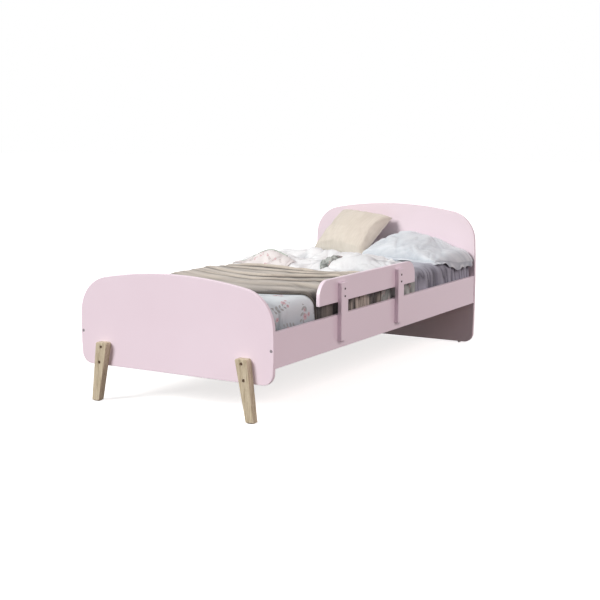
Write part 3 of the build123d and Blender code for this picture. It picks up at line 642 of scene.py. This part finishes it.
def foot_droop(y):
    """How much lower the mattress's top is towards its foot end, where nothing lies on it."""
    return 7 * MM * smooth(-y, 0.80, 0.98)


def edge_round(radius, height, up=1):
    """A profile round an upper edge, or a lower one with up=-1, from the side to the face at a height."""
    turns = np.linspace(0, math.pi / 2, 8)
    return [(radius * (1 - math.cos(turn)), height - up * radius * (1 - math.sin(turn))) for turn in turns]


mattress_edge = 42 * MM
top_profile = edge_round(mattress_edge, mattress_high.z)
low_profile = edge_round(mattress_edge, mattress_low.z, up=-1)[::-1]
half_x = mattress_high.x
middle_insets = [(inset, mattress_high.z) for inset in np.linspace(0.06, half_x - 1 * MM, 14)]
under_insets = [(inset, mattress_low.z) for inset in np.linspace(half_x - 1 * MM, 0.06, 14)]
whole_profile = under_insets + low_profile + top_profile + middle_insets
rings = bed_rings(half_x, mattress_half_y, corner_radius, whole_profile)
above = rings[..., 2] > mattress_low.z + 0.08
rings[..., 2] -= np.where(above, foot_droop(rings[..., 1]), 0)
count = rings.shape[1]
points = rings.reshape(-1, 3)
under_cap, top_cap = range(count)[::-1], range((len(rings) - 1) * count, len(rings) * count)
faces = [*grid_faces(len(rings), count, closed=True), under_cap, top_cap]
mattress = make_object("mattress_pad", points, faces, points[:, :2])
paint(mattress, ticking)
seam_rings = bed_rings(half_x, mattress_half_y, corner_radius, [(6 * MM, mattress_low.z + 14 * MM)])
mattress_piping = piping("mattress_piping", seam_rings[0], 3 * MM, closed=True)
paint(mattress_piping, ticking)

sheet_half_x = sheet_high.x - 1 * MM
sheet_half_y = (sheet_high.y - sheet_low.y) / 2 - 1 * MM
sheet_edge = mattress_edge + 2 * MM
sheet_top = sheet_high.z - 1 * MM
sheet_profile = [(0.0, z) for z in np.linspace(sheet_low.z - 20 * MM, sheet_top - sheet_edge, 16)[:-1]]
sheet_profile += edge_round(sheet_edge, sheet_top)
top_insets = np.concatenate([np.arange(0.045, 0.27, 0.0125), np.linspace(0.3, sheet_half_x - 1 * MM, 5)])
sheet_profile += [(inset, sheet_top) for inset in top_insets]
rings = bed_rings(sheet_half_x, sheet_half_y, corner_radius + 2 * MM, sheet_profile)
x, y, z = rings[..., 0], rings[..., 1], rings[..., 2]
from_middle_x, from_middle_y = np.abs(x), np.abs(y - mattress_middle_y)
into_corner = np.minimum(from_middle_x - (sheet_half_x - 0.16), from_middle_y - (sheet_half_y - 0.16))
at_corner = smooth(into_corner, 0, 0.09)
bare = smooth(-y, 0.66, 0.74)
on_top = smooth(z, sheet_top - 6 * MM, sheet_top - 0.5 * MM)
steps_around = np.linalg.norm(np.diff(rings[0], axis=0, prepend=rings[0][:1]), axis=1)
around = np.broadcast_to(np.cumsum(steps_around), x.shape)
ripple = 3.0 * MM * (creases(x + 0.4 * y, y - 0.5 * x, 0.07, 3) - 0.5) + 2.5 * MM * drift(x, y, 0.11, 4)
puckers = creases(around, z * 0.4, 0.022, 5)
side_swell = (2.5 * puckers + 2 * drift(around, z, 0.05, 6)) * MM
side_swell *= at_corner * (1 - on_top) * smooth(sheet_top - z, 0.0, 0.05)
outward_x = np.where(from_middle_x > sheet_half_x - corner_radius, np.sign(x), 0.0)
outward_y = np.where(from_middle_y > sheet_half_y - corner_radius, np.sign(y), 0.0)
rings[..., 0] += outward_x * side_swell * 0.7
rings[..., 1] += outward_y * side_swell * 0.7
rings[..., 2] += bare * on_top * np.abs(ripple)
rings[..., 2] -= foot_droop(y) * smooth(z, sheet_top - 0.1, sheet_top - 0.03)
side_drop = np.array([sheet_top - height for _, height in sheet_profile])[:, None]
flat = np.stack([x + outward_x * side_drop, y + outward_y * side_drop * (outward_x == 0)], axis=2)
count = rings.shape[1]
faces = [*grid_faces(len(rings), count, closed=True), range((len(rings) - 1) * count, len(rings) * count)]
sheet = make_object("patterned_fitted_sheet", rings.reshape(-1, 3), faces, flat.reshape(-1, 2))
# Painted shade on the sheet: darker low on its sides, in the puckers at its corners and in the foot end's
# ripples.
painted_side_shade = 0.48 * smooth(sheet_top - z, 0.03, 0.12)
painted_pucker_shade = 0.6 * at_corner * (1 - on_top) * (1 - puckers)
painted_ripple_shade = 0.35 * bare * on_top * smooth(ripple, 0.0, -2.5 * MM)
keep_painted_light(sheet, 1 - painted_side_shade - painted_pucker_shade - painted_ripple_shade)
thicken(sheet, 0.9 * MM)
paint(sheet, sprig)

# --- Throw ----------------------------------------------------------------------------------------
cloth_half = sheet_half_x + 1.5 * MM
cloth_top = sheet_high.z + 0.6 * MM
cloth_corner = sheet_edge + 2 * MM
throw_hem = 332 * MM
throw_reach = reach(cloth_half, cloth_top, cloth_corner, throw_hem)
throw_line = line_across(cloth_half, cloth_top, cloth_corner, -throw_reach, throw_reach, 5 * MM)
throw_at = throw_line[2]
# Where its foot and head edges lie along the bed, at places across it.
throw_foot = np.interp(throw_at, [-0.60, -0.47, -0.30, 0.0, 0.24, 0.32, 0.38, 0.43, 0.48, 0.60],
                       [-0.715, -0.735, -0.742, -0.740, -0.729, -0.708, -0.684, -0.656, -0.632, -0.618])
throw_head = np.interp(throw_at, [-0.60, -0.45, -0.25, 0.0, 0.21, 0.35, 0.45, 0.60],
                       [0.050, 0.060, 0.058, 0.012, 0.030, 0.020, -0.010, -0.045])
throw_rows = 212
throw_grid, throw_out, across = spread(throw_line, throw_foot, throw_head, throw_rows)
y = throw_grid[..., 1]
past_foot = y - throw_foot[None, :]
hanging = smooth(np.abs(across), 0.41, 0.47)
# Each big fold: its crest's place along the bed at eight places across it, its height, and how far it
# spreads towards the foot and the head.
fold_across = [-0.60, -0.45, -0.20, 0.0, 0.20, 0.33, 0.42, 0.60]
big_folds = (
    ((0.035, 0.038, 0.022, -0.015, -0.008, 0.006, 0.012, -0.07), 15, 0.022, 0.024),
    ((-0.050, -0.048, -0.070, -0.095, -0.075, -0.060, -0.085, -0.13), 11, 0.018, 0.034),
    ((-0.155, -0.150, -0.235, -0.290, -0.195, -0.170, -0.210, -0.24), 15, 0.020, 0.045),
    ((-0.270, -0.262, -0.335, -0.375, -0.330, -0.300, -0.330, -0.36), 10, 0.017, 0.040),
    ((-0.390, -0.380, -0.425, -0.470, -0.480, -0.480, -0.500, -0.50), 12, 0.045, 0.055),
    ((-0.560, -0.565, -0.570, -0.600, -0.610, -0.590, -0.580, -0.57), 4, 0.070, 0.055),
    ((-0.665, -0.675, -0.680, -0.676, -0.665, -0.645, -0.615, -0.58), 8, 0.050, 0.070),
)
wander = 0.012 * drift(across, y, 0.16, 11) + 0.005 * drift(across, y, 0.06, 12)
folds = np.zeros_like(y)
painted_tuck_shade = np.zeros_like(y)
for number, (crest, height, front, back) in enumerate(big_folds):
    from_crest = y + wander - np.interp(across, fold_across, crest)
    swell = 0.85 + 0.35 * drift(across, y, 0.22, 21 + number)
    width = np.where(from_crest < 0, front, back)
    folds = np.maximum(folds, height * MM * swell * np.exp(-(from_crest / width) ** 2))
    # A line of painted shade in the valley in front of each fold but the last.
    if number < len(big_folds) - 1:
        tuck_shade_strength = min(height / 13, 1) * (0.022 / front)
        from_tuck = from_crest + 1.30 * front
        painted_tuck_shade = np.maximum(painted_tuck_shade, tuck_shade_strength * swell * np.exp(-(from_tuck / (0.45 * front)) ** 2))
slanted = y + 0.35 * across + 0.03 * drift(across, y, 0.2, 30)
fine = billows(slanted * 1.6, across * 0.20 + 0.3 * y, 0.06, 31)
uneven = 1 + drift(across, y, 0.1, 32)
fan_right = billows(y * 1.4 + 0.9 * np.clip(across - 0.2, 0, None), across * 0.2, 0.045, 34)
right_share = smooth(across, 0.16, 0.34) * (0.25 + 0.75 * smooth(past_foot, 0.06, 0.17))
calm_foot = 1 - 0.65 * smooth(y, -0.38, -0.50) * smooth(across, 0.30, 0.15)
small = (3.0 * fine * calm_foot + 5.0 * fan_right * right_share + 2.0 * uneven) * MM
far_side = smooth(across, -0.28, -0.42)
folds *= 1 - 0.65 * far_side
far_swell = 9 * MM * far_side * smooth(y, -0.62, -0.40) * smooth(y, 0.0, -0.15)
top_lift = folds + small + far_swell
gathers = billows(y * 1.1 + 0.02 * drift(y, across, 0.1, 35), across * 0.2, 0.0175, 33)
near_foot = smooth(y, -0.38, -0.48) * (across > 0)
side_folds = 0.8 * MM + (6.0 - 3.4 * near_foot) * MM * gathers
side_folds *= 1 - 0.4 * beside_hooks(y, hook_spans) * (across > 0)
lift = top_lift * (1 - hanging) + side_folds * hanging
lift *= rim_share(throw_grid, 14 * MM) * 0.9 + 0.1
rolled = lifted(throw_grid, throw_out, lift)
rolled[..., 1] -= 0.7 * folds * (1 - hanging) * smooth(past_foot, 0.08, 0.14)
throw = cloth("linen_throw", rolled, 2.2 * MM)
# Painted shade on the throw: dark at its foot edge, in folds and in pleats behind the guard, lighter on the
# left.
painted_foot_shade = 0.45 * smooth(past_foot, 0.120, 0.020) + 0.55 * smooth(past_foot, 0.045, 0.005)
left_share = smooth(across, 0.20, -0.05)
fine_painted_light = (0.36 + 0.26 * left_share) * (fine - 0.5) * calm_foot
fan_painted_light = 0.40 * (fan_right - 0.5) * right_share
top_painted_light = np.clip(0.50 + 0.22 * left_share + 24 * folds + fine_painted_light + fan_painted_light, 0, 1)
top_painted_light = top_painted_light * (1 - 0.80 * np.clip(painted_tuck_shade, 0, 1)) - (0.60 - 0.22 * left_share) * painted_foot_shade
side_painted_light = np.clip(0.80 * gathers ** 2.5, 0, 1) * (1 - 0.85 * near_foot) * (1 - painted_foot_shade)
# A band of painted light on the hanging side, near the foot end of the guard board.
side_painted_light += 0.16 * near_foot * np.exp(-((y + 0.545) / 0.035) ** 2)
keep_painted_light(throw, np.clip(top_painted_light * (1 - hanging) + side_painted_light * hanging, 0, 1))
paint(throw, taupe)
edge_rows = rolled + (lifted(throw_grid, throw_out, np.full_like(lift, 2.4 * MM)) - throw_grid)
throw_hem_foot = piping("throw_foot_hem", edge_rows[0] + [0, -2 * MM, 1.5 * MM], 4.2 * MM)
throw_hem_head = piping("throw_head_hem", edge_rows[-1], 2.4 * MM)
# Painted shade on the hems: dark on the foot hem, as under its roll, and middling on the head hem.
for hem, painted_light_level in ((throw_hem_foot, 0.12), (throw_hem_head, 0.55)):
    keep_painted_light(hem, painted_light_level)
    paint(hem, taupe)

# --- Duvet ----------------------------------------------------------------------------------------
duvet_base = sheet_high.z + 1 * MM
duvet_left = -437 * MM
flap_hem = 345 * MM
duvet_reach = reach(cloth_half, duvet_base, cloth_corner, flap_hem)
duvet_line = line_across(cloth_half, duvet_base, cloth_corner, duvet_left, duvet_reach, 5.5 * MM)
duvet_at = duvet_line[2]
duvet_foot = np.interp(duvet_at, throw_at, throw_head) + 6 * MM
duvet_head = np.interp(duvet_at, [-0.44, -0.3, 0.0, 0.10, 0.20, 0.30, 0.40, 0.445, 0.50, 0.60],
                       [0.630, 0.640, 0.625, 0.60, 0.53, 0.45, 0.375, 0.340, 0.335, 0.372])
duvet_grid, duvet_out, across = spread(duvet_line, duvet_foot, duvet_head, rows=122)
# Each hill: its place across and along the bed, its width and length, and its height in millimetres.
duvet_hills = (
    (-0.25, 0.200, 0.110, 0.052, 38),
    (-0.13, 0.360, 0.140, 0.085, 44),
    (0.02, 0.190, 0.060, 0.070, 18),
    (0.19, 0.195, 0.085, 0.075, 42),
    (0.30, 0.190, 0.070, 0.085, 34),
    (0.40, 0.185, 0.050, 0.085, 24),
    (0.09, 0.370, 0.150, 0.085, 26),
    (-0.33, 0.470, 0.110, 0.110, 10),
)


def duvet_lift(across, y):
    """How high the crumpled duvet stands on the sheet, its rim's share of that, and its painted light level.
    """
    foot, head = np.interp(across, duvet_at, duvet_foot), np.interp(across, duvet_at, duvet_head)
    mound = 9.0 + 13.0 * smooth(y - foot, 0.04, 0.20)
    for hill_x, hill_y, wide, long, height in duvet_hills:
        mound = mound + height * np.exp(-((across - hill_x) / wide) ** 2 - ((y - hill_y) / long) ** 2)
    twist_a = across + 0.06 * drift(across, y, 0.17, 41)
    twist_b = y + 0.06 * drift(across, y, 0.17, 42)
    big = billows(twist_a + 0.5 * twist_b, twist_b - 0.4 * twist_a, 0.12, 43) - 0.55
    long_folds = billows(twist_a * 1.5 + twist_b, 0.3 * twist_b - 0.3 * twist_a, 0.08, 47) - 0.55
    middle = billows(twist_b, twist_a * 0.6, 0.055, 44) - 0.55
    small = creases(twist_a, twist_b, 0.026, 45) - 0.45
    crumple = 14 * big + 12 * long_folds + 9 * middle + 3.5 * small
    nearest_side = np.minimum(across - duvet_left, duvet_reach - across)
    nearest = np.minimum(nearest_side, np.minimum(y - foot, head - y))
    rim = np.sqrt(1 - (1 - np.clip(nearest / 0.026, 0, 1)) ** 2)
    # Painted shade in the crumples' valleys, and over the part towards the guard and the foot.
    painted_light_level = np.clip(0.96 + 0.6 * big + 0.6 * long_folds + 0.7 * middle + 0.3 * small, 0, 1)
    painted_light_level = painted_light_level * (1 - 0.30 * smooth(across, 0.12, 0.30) * smooth(y, 0.42, 0.30))
    return np.maximum(mound + crumple, 6) * MM, rim, painted_light_level


y = duvet_grid[..., 1]
hanging = smooth(across, 0.405, 0.46)
top_lift, rim, top_painted_light = duvet_lift(across, y)
gathers = billows(y * 1.2 + 0.2 * across, across * 0.3, 0.034, 46)
side_folds = (2.6 + 4.6 * gathers) * MM
side_folds *= 1 - 0.35 * beside_hooks(y, hook_spans[1:])
lift = (top_lift * (1 - hanging) + side_folds * hanging) * rim
over_blanket = 3.6 * MM * smooth(y - duvet_head[None, :], -0.09, -0.045) * smooth(across, 0.03, 0.06)
duvet_outer = lifted(duvet_grid, duvet_out, lift + over_blanket)
duvet_outer[..., 0] = np.minimum(duvet_outer[..., 0], guard_low.x - 2.5 * MM)
duvet_inner = lifted(duvet_grid, duvet_out, over_blanket)
duvet = two_layers("crumpled_duvet", duvet_outer, duvet_inner)
# Painted shade on the duvet: its crumples on top, and the gathers of its side that hangs behind the guard.
keep_painted_light(duvet, np.clip(top_painted_light * (1 - hanging) + (0.15 + 0.8 * gathers) * hanging, 0, 1))
paint(duvet, white)
duvet.data.materials.append(pale_sprig)
# Its printed reverse starts at a piped seam on the side that hangs down, behind the guard board.
side_from = 440 * MM
from_seam = np.abs(duvet_outer[..., 2].mean(axis=0) - guard_low.z - 12 * MM)
seam_at = int(np.argmin(np.where(across[0] > side_from, from_seam, np.inf)))
seam_height = duvet_outer[:, seam_at, 2].mean()
for face in duvet.data.polygons:
    if face.center.x > side_from and face.center.z < seam_height:
        face.material_index = 1
seam_piping = piping("duvet_seam_piping", duvet_outer[3:-3, seam_at], 2 * MM)
paint(seam_piping, edge_cotton)


def on_duvet(across, y, extra):
    """Points that stand a height above the duvet's upper side."""
    top, rim, _ = duvet_lift(across, y)
    return np.stack([across, y, duvet_base + top * rim + extra], axis=2)


# --- The duvet's turned-back corner and a twisted fold, which show its printed reverse ------------
corner_rows, corner_columns = 34, 70
corner_at = np.linspace(-0.430, -0.095, corner_columns)
corner_crest = np.interp(corner_at, [-0.430, -0.385, -0.325, -0.29, -0.26, -0.225, -0.185, -0.13, -0.095],
                         [8, 16, 50, 68, 75, 73, 60, 42, 28]) * MM
corner_crest = np.convolve(np.pad(corner_crest, 3, mode="edge"), np.ones(7) / 7, mode="valid")
corner_back = np.interp(corner_at, [-0.430, -0.385, -0.26, -0.095], [0.118, 0.135, 0.168, 0.140])
share = np.linspace(0, 1, corner_rows)[:, None]
corner_front = np.interp(corner_at, duvet_at, duvet_foot) + 3 * MM
corner_x = np.broadcast_to(corner_at, (corner_rows, corner_columns))
corner_y = corner_front * (1 - share) + corner_back * share
corner_z = 7 * MM + (corner_crest - 7 * MM) * np.sin(share * math.pi / 2) ** 0.85
wave = billows(corner_x * 1.3 + 0.4 * corner_y, corner_y * 0.7, 0.045, 51)
ruffle = (5 * (wave - 0.5) + 1.5 * drift(corner_x, corner_y, 0.02, 52)) * MM
corner_z = corner_z + ruffle * np.sin(share * math.pi) ** 0.5
under_corner = on_duvet(corner_x, corner_y, 1 * MM)
corner_top = np.maximum(duvet_base + corner_z, under_corner[..., 2] + 2 * MM)
corner_outer = np.stack([corner_x, corner_y, corner_top], axis=2)
turned_corner = two_layers("duvet_turned_corner", corner_outer, under_corner)
# Painted shade in the hollows of the corner's ruffles.
keep_painted_light(turned_corner, np.clip(0.5 + 0.6 * wave, 0, 1))
paint(turned_corner, small_sprig)
corner_piping = piping("duvet_corner_piping", corner_outer[-1, 3:58] + np.array([0, 0, 1.5 * MM]), 4 * MM)
paint(corner_piping, edge_cotton)

fold_rows = 46
fold_width = 30 * MM
fold_y = np.linspace(0.075, 0.300, fold_rows)[:, None]
fold_middle = 0.082 + 0.012 * np.sin(fold_y * 28)
fold_half = fold_width * np.sin(np.linspace(0.12, math.pi - 0.10, fold_rows))[:, None] ** 0.6
fold_share = np.linspace(-1, 1, 25)[None, :]
fold_x = fold_middle + fold_half * fold_share
fold_y = np.broadcast_to(fold_y, fold_x.shape) + 0.012 * fold_share
twist = creases(fold_x * 2 + fold_y, fold_y * 1.2 - fold_x, 0.030, 55)
fold_top = (1 - fold_share ** 2) ** 0.5 * (fold_half / fold_width) * (15 + 8 * (twist - 0.5)) * MM
reverse_fold = two_layers("duvet_twisted_fold", on_duvet(fold_x, fold_y, fold_top + 0.5 * MM),
                          on_duvet(fold_x, fold_y, -1 * MM))
# Painted shade in the hollows of the twisted fold.
keep_painted_light(reverse_fold, np.clip(0.1 + 0.9 * twist, 0, 1))
paint(reverse_fold, pale_sprig)

# --- Grey blanket ---------------------------------------------------------------------------------
blanket_hem = 342 * MM
blanket_line = line_across(cloth_half, sheet_high.z + 0.6 * MM, cloth_corner, 0.06,
                           reach(cloth_half, sheet_high.z, cloth_corner, blanket_hem), 4.5 * MM)
blanket_at = blanket_line[2]
blanket_foot = np.interp(blanket_at, [0.0, 0.10, 0.20, 0.30, 0.40, 0.445, 0.50, 0.60],
                         [0.625, 0.60, 0.53, 0.45, 0.375, 0.340, 0.335, 0.372]) - 0.022
blanket_head = np.full_like(blanket_at, mattress_high.y - 12 * MM)
blanket_rows = 150
blanket_grid, blanket_out, across = spread(blanket_line, blanket_foot, blanket_head, blanket_rows)
y = blanket_grid[..., 1]
hanging = smooth(across, 0.425, 0.475)
leaning = y - 0.25 * (across - 0.45)
gathers = billows(leaning, across * 0.22, 0.030, 61)
side_folds = (0.8 + 6.2 * gathers + 1.2 * (1 + drift(leaning, across, 0.02, 62))) * MM
top_folds = billows(leaning * 1.3, across * 0.5, 0.06, 63)
top_lift = 0.8 * MM + 2.4 * MM * top_folds * smooth(across, 0.30, 0.42)
lift = top_lift * (1 - hanging) + np.minimum(side_folds, 7.6 * MM) * hanging
lift *= rim_share(blanket_grid, 8 * MM) * 0.9 + 0.1
blanket = cloth("grey_cotton_blanket", lifted(blanket_grid, blanket_out, lift), 1.6 * MM)
# Painted shade in the blanket's folds, darkest in the gathers of its hanging side.
blanket_painted_light = (0.45 + 0.5 * top_folds) * (1 - hanging) + (0.1 + 0.9 * gathers) * hanging
keep_painted_light(blanket, np.clip(blanket_painted_light, 0, 1))
paint(blanket, grey)


# --- Pillow and cushion ---------------------------------------------------------------------------
def stuffed(name, width, height, thick, under, pull, count, seed):
    """Two layers of cloth sewn round their edge and stuffed: X across, Y up, Z through its thickness.

    under is the share of the thickness that lies below the seam."""
    share = np.sin(np.linspace(-math.pi / 2, math.pi / 2, count))
    u, v = np.meshgrid(share, share)
    x = width / 2 * u * (1 - pull * (1 - v ** 2) * u ** 2)
    y = height / 2 * v * (1 - pull * (1 - u ** 2) * v ** 2)
    body = np.clip((1 - u ** 2) * (1 - v ** 2), 0, 1) ** 0.42
    near_seam = 4 * body * (1 - body)
    pucker = 4 * MM * (creases(x, y, 0.055, seed) - 0.4) * near_seam
    dents = 3 * MM * drift(x, y, 0.12, seed + 1) * body
    front = np.stack([x, y, thick * (1 - under) * body + pucker + dents], axis=2)
    back = np.stack([x, y, -thick * under * body], axis=2)
    return two_layers(name, front, back)


def place_pad(made, lean_degrees, turn_degrees, middle_x, back_y, seat_z, bend):
    """Turn a pad in its own plane, lean it back, set it on its seat against the headboard, and bend it."""
    lean, turn = math.radians(lean_degrees), math.radians(turn_degrees)
    x, y, z = points_of(made).T
    x, y = x * math.cos(turn) - y * math.sin(turn), x * math.sin(turn) + y * math.cos(turn)
    y, z = y * math.cos(lean) - z * math.sin(lean), y * math.sin(lean) + z * math.cos(lean)
    set_down = np.stack([x + middle_x, y + back_y - y.max(), z + seat_z - z.min()], axis=1)
    place_points(made, bend(set_down))


def press_creases(made, depth_mm, painted_light_low, seed):
    """Press creases into the front of a stuffed piece that lies flat, and paint shade into them by a painted
    light level.
    """
    x, y, z = points_of(made).T
    sway_x = x + 0.07 * drift(x, y, 0.13, seed)
    sway_y = y + 0.07 * drift(y, x, 0.13, seed + 2)
    long_folds = billows(sway_x * 1.6 + 1.1 * sway_y, 0.3 * sway_y - 0.3 * sway_x, 0.060, seed + 1)
    cross_folds = billows(0.7 * sway_x - 0.5 * sway_y, sway_y * 1.6 - 0.9 * sway_x, 0.050, seed + 3)
    small = creases(x, y, 0.020, seed + 4)
    pressed = 0.9 * long_folds + 0.7 * cross_folds + 0.3 * small
    z = z + depth_mm * MM * (pressed - 1.1) * smooth(z, 2 * MM, 25 * MM)
    place_points(made, np.stack([x, y, z], axis=1))
    keep_painted_light(made, painted_light_low + (1 - painted_light_low) * np.clip((pressed - 0.3) / 1.4, 0, 1))


pillow_seat = sheet_high.z + 4 * MM
pillow_count = 91
pillow = stuffed("white_pillow", width=0.48, height=0.42, thick=0.105, under=0.16, pull=0.05,
                 count=pillow_count, seed=71)
settle(pillow, pressure=3.0, frames=16, cap=9 * MM)
press_creases(pillow, depth_mm=12.0, painted_light_low=0.62, seed=171)


def droop_pillow(points):
    """The pillow sinks towards its outer end, which hangs round the mattress's edge."""
    x, y, z = points.T.copy()
    x = x - 0.050 * (1 - smooth(y, 0.60, 0.85)) * smooth(x, 0.25, 0.49)
    sunk = np.interp(x, [0.0, 0.16, 0.289, 0.393, 0.47], [0.08, 0.112, 0.298, 0.62, 0.74])
    z = z - sunk * np.clip(z - pillow_seat, 0, None)
    bend_from, bend_radius, most_turn = 0.42, 0.048, 1.45
    past = np.clip(x - bend_from, 0, None)
    turn = np.minimum(past / bend_radius, most_turn)
    hanging = past - bend_radius * turn
    height = z - pillow_seat
    bent_x = bend_from + (bend_radius + np.clip(height, 0, 0.012)) * np.sin(turn) + hanging * 0.12
    bent_z = pillow_seat - bend_radius + (bend_radius + height) * np.cos(turn) - hanging
    return np.stack([np.where(past > 0, bent_x, x), y, np.where(past > 0, bent_z, z)], axis=1)


place_pad(pillow, lean_degrees=8, turn_degrees=0, middle_x=0.250, back_y=headboard_face, seat_z=pillow_seat,
          bend=droop_pillow)
front = points_of(pillow)[:pillow_count ** 2].reshape(pillow_count, pillow_count, 3)
soften(pillow)
paint(pillow, pillow_cotton)

# The pillowcase's open hem stands out past the seam, along the front and round the outer corner.
seam_path = np.concatenate([front[0, 14:-1], front[:78, -1]])
steps = np.linalg.norm(np.diff(seam_path, axis=0), axis=1)
run = np.concatenate([[0], np.cumsum(steps)])
even = np.linspace(0, run[-1], 210)
seam_path = np.stack([np.interp(even, run, seam_path[:, axis]) for axis in range(3)], axis=1)
out_way = np.cross(np.gradient(seam_path, axis=0), [0, 0, 1.0])
out_way /= np.linalg.norm(out_way, axis=1)[:, None]
hem_share = np.linspace(0, 1, 14)[:, None]
hem_width = (26 + 7 * drift(even, even * 0, 0.06, 91) + 3 * drift(even, even * 0, 0.02, 92)) * MM
on_side = smooth(seam_path[:, 0], 0.43, 0.47)[:, None]
hem_width = hem_width * (1 + 0.35 * on_side[:, 0])
hem_way = (0.80 - 0.65 * on_side) * out_way + (-0.45 - 0.50 * on_side) * [0, 0, 1.0]
hem_grid = seam_path[None] + (hem_share * hem_width)[..., None] * hem_way[None]
hem_ripple = drift(even[None] + 0 * hem_share, hem_share * 0.04, 0.035, 93)
hem_creases = creases(even[None] + 0.01 * hem_share, hem_share * 0.02, 0.022, 94)
hem_wave = (5 * hem_ripple + 3 * hem_creases) * MM * hem_share ** 0.7
hem_grid[..., 2] += hem_wave
hem_floor = sheet_high.z + 3 * MM - 110 * MM * smooth(hem_grid[..., 0], 0.42, 0.455)
hem_grid[..., 2] = np.maximum(hem_grid[..., 2], hem_floor)
pillow_hem = cloth("pillowcase_hem", hem_grid, 1.2 * MM)
# Painted shade in the hem's hollows, lighter on its ripples.
keep_painted_light(pillow_hem, np.clip(0.55 + hem_wave / (9 * MM), 0, 1))
paint(pillow_hem, pillow_cotton)


def crush_cushion(points):
    """The cushion's lower edge flattens where it stands on the sheet."""
    x, y, z = points.T.copy()
    low = sheet_high.z + 1 * MM
    z = low + np.maximum(z - low, 0) * (0.55 + 0.45 * smooth(z - low, 0, 0.05))
    return np.stack([x, y, z], axis=1)


cushion = stuffed("beige_cushion", width=0.335, height=0.335, thick=0.110, under=0.42, pull=0.05,
                  count=61, seed=81)
settle(cushion, pressure=4.0, frames=16, cap=8 * MM)
press_creases(cushion, depth_mm=2.0, painted_light_low=0.85, seed=181)
place_pad(cushion, lean_degrees=36, turn_degrees=-8, middle_x=-0.170, back_y=headboard_face,
          seat_z=sheet_high.z - 2 * MM, bend=crush_cushion)
soften(cushion)
paint(cushion, linen)

# --- Ride with the bed, and stand in for the CAD bedding ------------------------------------------
dressing = (
    (mattress, "mattress_ticking"),
    (mattress_piping, "mattress_ticking"),
    (sheet, "sprig_cotton"),
    (throw, "taupe_weave"),
    (throw_hem_foot, "taupe_weave"),
    (throw_hem_head, "taupe_weave"),
    (duvet, "white_cotton"),
    (turned_corner, "sprig_cotton"),
    (corner_piping, "sprig_cotton"),
    (seam_piping, "sprig_cotton"),
    (reverse_fold, "sprig_cotton"),
    (blanket, "grey_cotton"),
    (pillow, "white_cotton"),
    (pillow_hem, "white_cotton"),
    (cushion, "beige_linen"),
)
for piece, slot_name in dressing:
    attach(piece, "bed")
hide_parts("mattress")
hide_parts("patterned_sheet")
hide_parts("throw")
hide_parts("duvet")
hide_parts("grey_blanket")
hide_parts("pillow")
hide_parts("cushion")


# --- Floor, light and camera ----------------------------------------------------------------------
def seen_share(tree, *other_rays):
    """1 for what the camera sees, straight or by the other kinds of ray."""
    rays = add(tree, "LightPath").outputs
    share = rays["Is Camera Ray"]
    for ray in other_rays:
        share = add(tree, "Math", {0: share, 1: rays[ray]}, operation="MAXIMUM").outputs[0]
    return share


def start_tree(owner):
    """An empty node tree for a material or a world."""
    owner.use_nodes = True
    owner.node_tree.nodes.clear()
    return owner.node_tree


floor_half = 30.0
floor_corners = [(-floor_half, -floor_half, 0), (floor_half, -floor_half, 0),
                 (floor_half, floor_half, 0), (-floor_half, floor_half, 0)]
floor = make_object("studio_floor", floor_corners, [(0, 1, 2, 3)])
floor_paint = bpy.data.materials.new("white_floor_paint")
tree = start_tree(floor_paint)
matt = add(tree, "BsdfDiffuse", {"Color": colour("#786262")})
bright_matt = add(tree, "BsdfDiffuse", {"Color": colour("#E8E8E8")})
glow = add(tree, "Emission", {"Color": colour("#FFFFFF"), "Strength": 0.73})
seen_floor = add(tree, "AddShader", {0: bright_matt, 1: glow})
either = add(tree, "MixShader", {"Fac": seen_share(tree, "Is Glossy Ray"), 1: matt, 2: seen_floor})
add(tree, "OutputMaterial", {"Surface": either})
paint(floor, floor_paint)

world = bpy.data.worlds.new("studio_air")
bpy.context.scene.world = world
tree = start_tree(world)
ambient = add(tree, "Background", {"Color": colour("#F6F6F8"), "Strength": 0.28})
backdrop = add(tree, "Background", {"Color": colour("#FFFFFF"), "Strength": 1.0})
seen = seen_share(tree, "Is Glossy Ray", "Is Transmission Ray")
either = add(tree, "MixShader", {"Fac": seen, 1: ambient, 2: backdrop})
add(tree, "OutputWorld", {"Surface": either})


def soft_sun(name, towards, strength, angle_degrees, code):
    """A broad even light from one direction."""
    lamp = bpy.data.lights.new(name, "SUN")
    lamp.energy = strength
    lamp.angle = math.radians(angle_degrees)
    lamp.color = colour(code)[:3]
    made = bpy.data.objects.new(name, lamp)
    bpy.context.scene.collection.objects.link(made)
    x, y, z = towards
    made.rotation_euler = (math.atan2(math.hypot(x, y), z), 0, math.atan2(y, x) + math.pi / 2)


soft_sun("key_light", towards=(-0.42, -0.76, 0.50), strength=2.76, angle_degrees=24, code="#FFFDFB")
soft_sun("side_fill", towards=(0.80, 0.0, 0.60), strength=1.31, angle_degrees=30, code="#FFEEEC")

lens_camera = bpy.data.cameras.new("camera")
lens_camera.lens = 71.485
lens_camera.sensor_width = 36
lens_camera.sensor_fit = "HORIZONTAL"
camera = bpy.data.objects.new("camera", lens_camera)
bpy.context.scene.collection.objects.link(camera)
look_down, turn_left = math.radians(8.4561), math.radians(30.5654)
camera.location = (2.883, -4.8664, 1.172)
camera.rotation_euler = (math.pi / 2 - look_down, 0, turn_left)
bpy.context.scene.camera = camera
bpy.context.scene.view_settings.view_transform = "Standard"

bpy.context.view_layer.update()
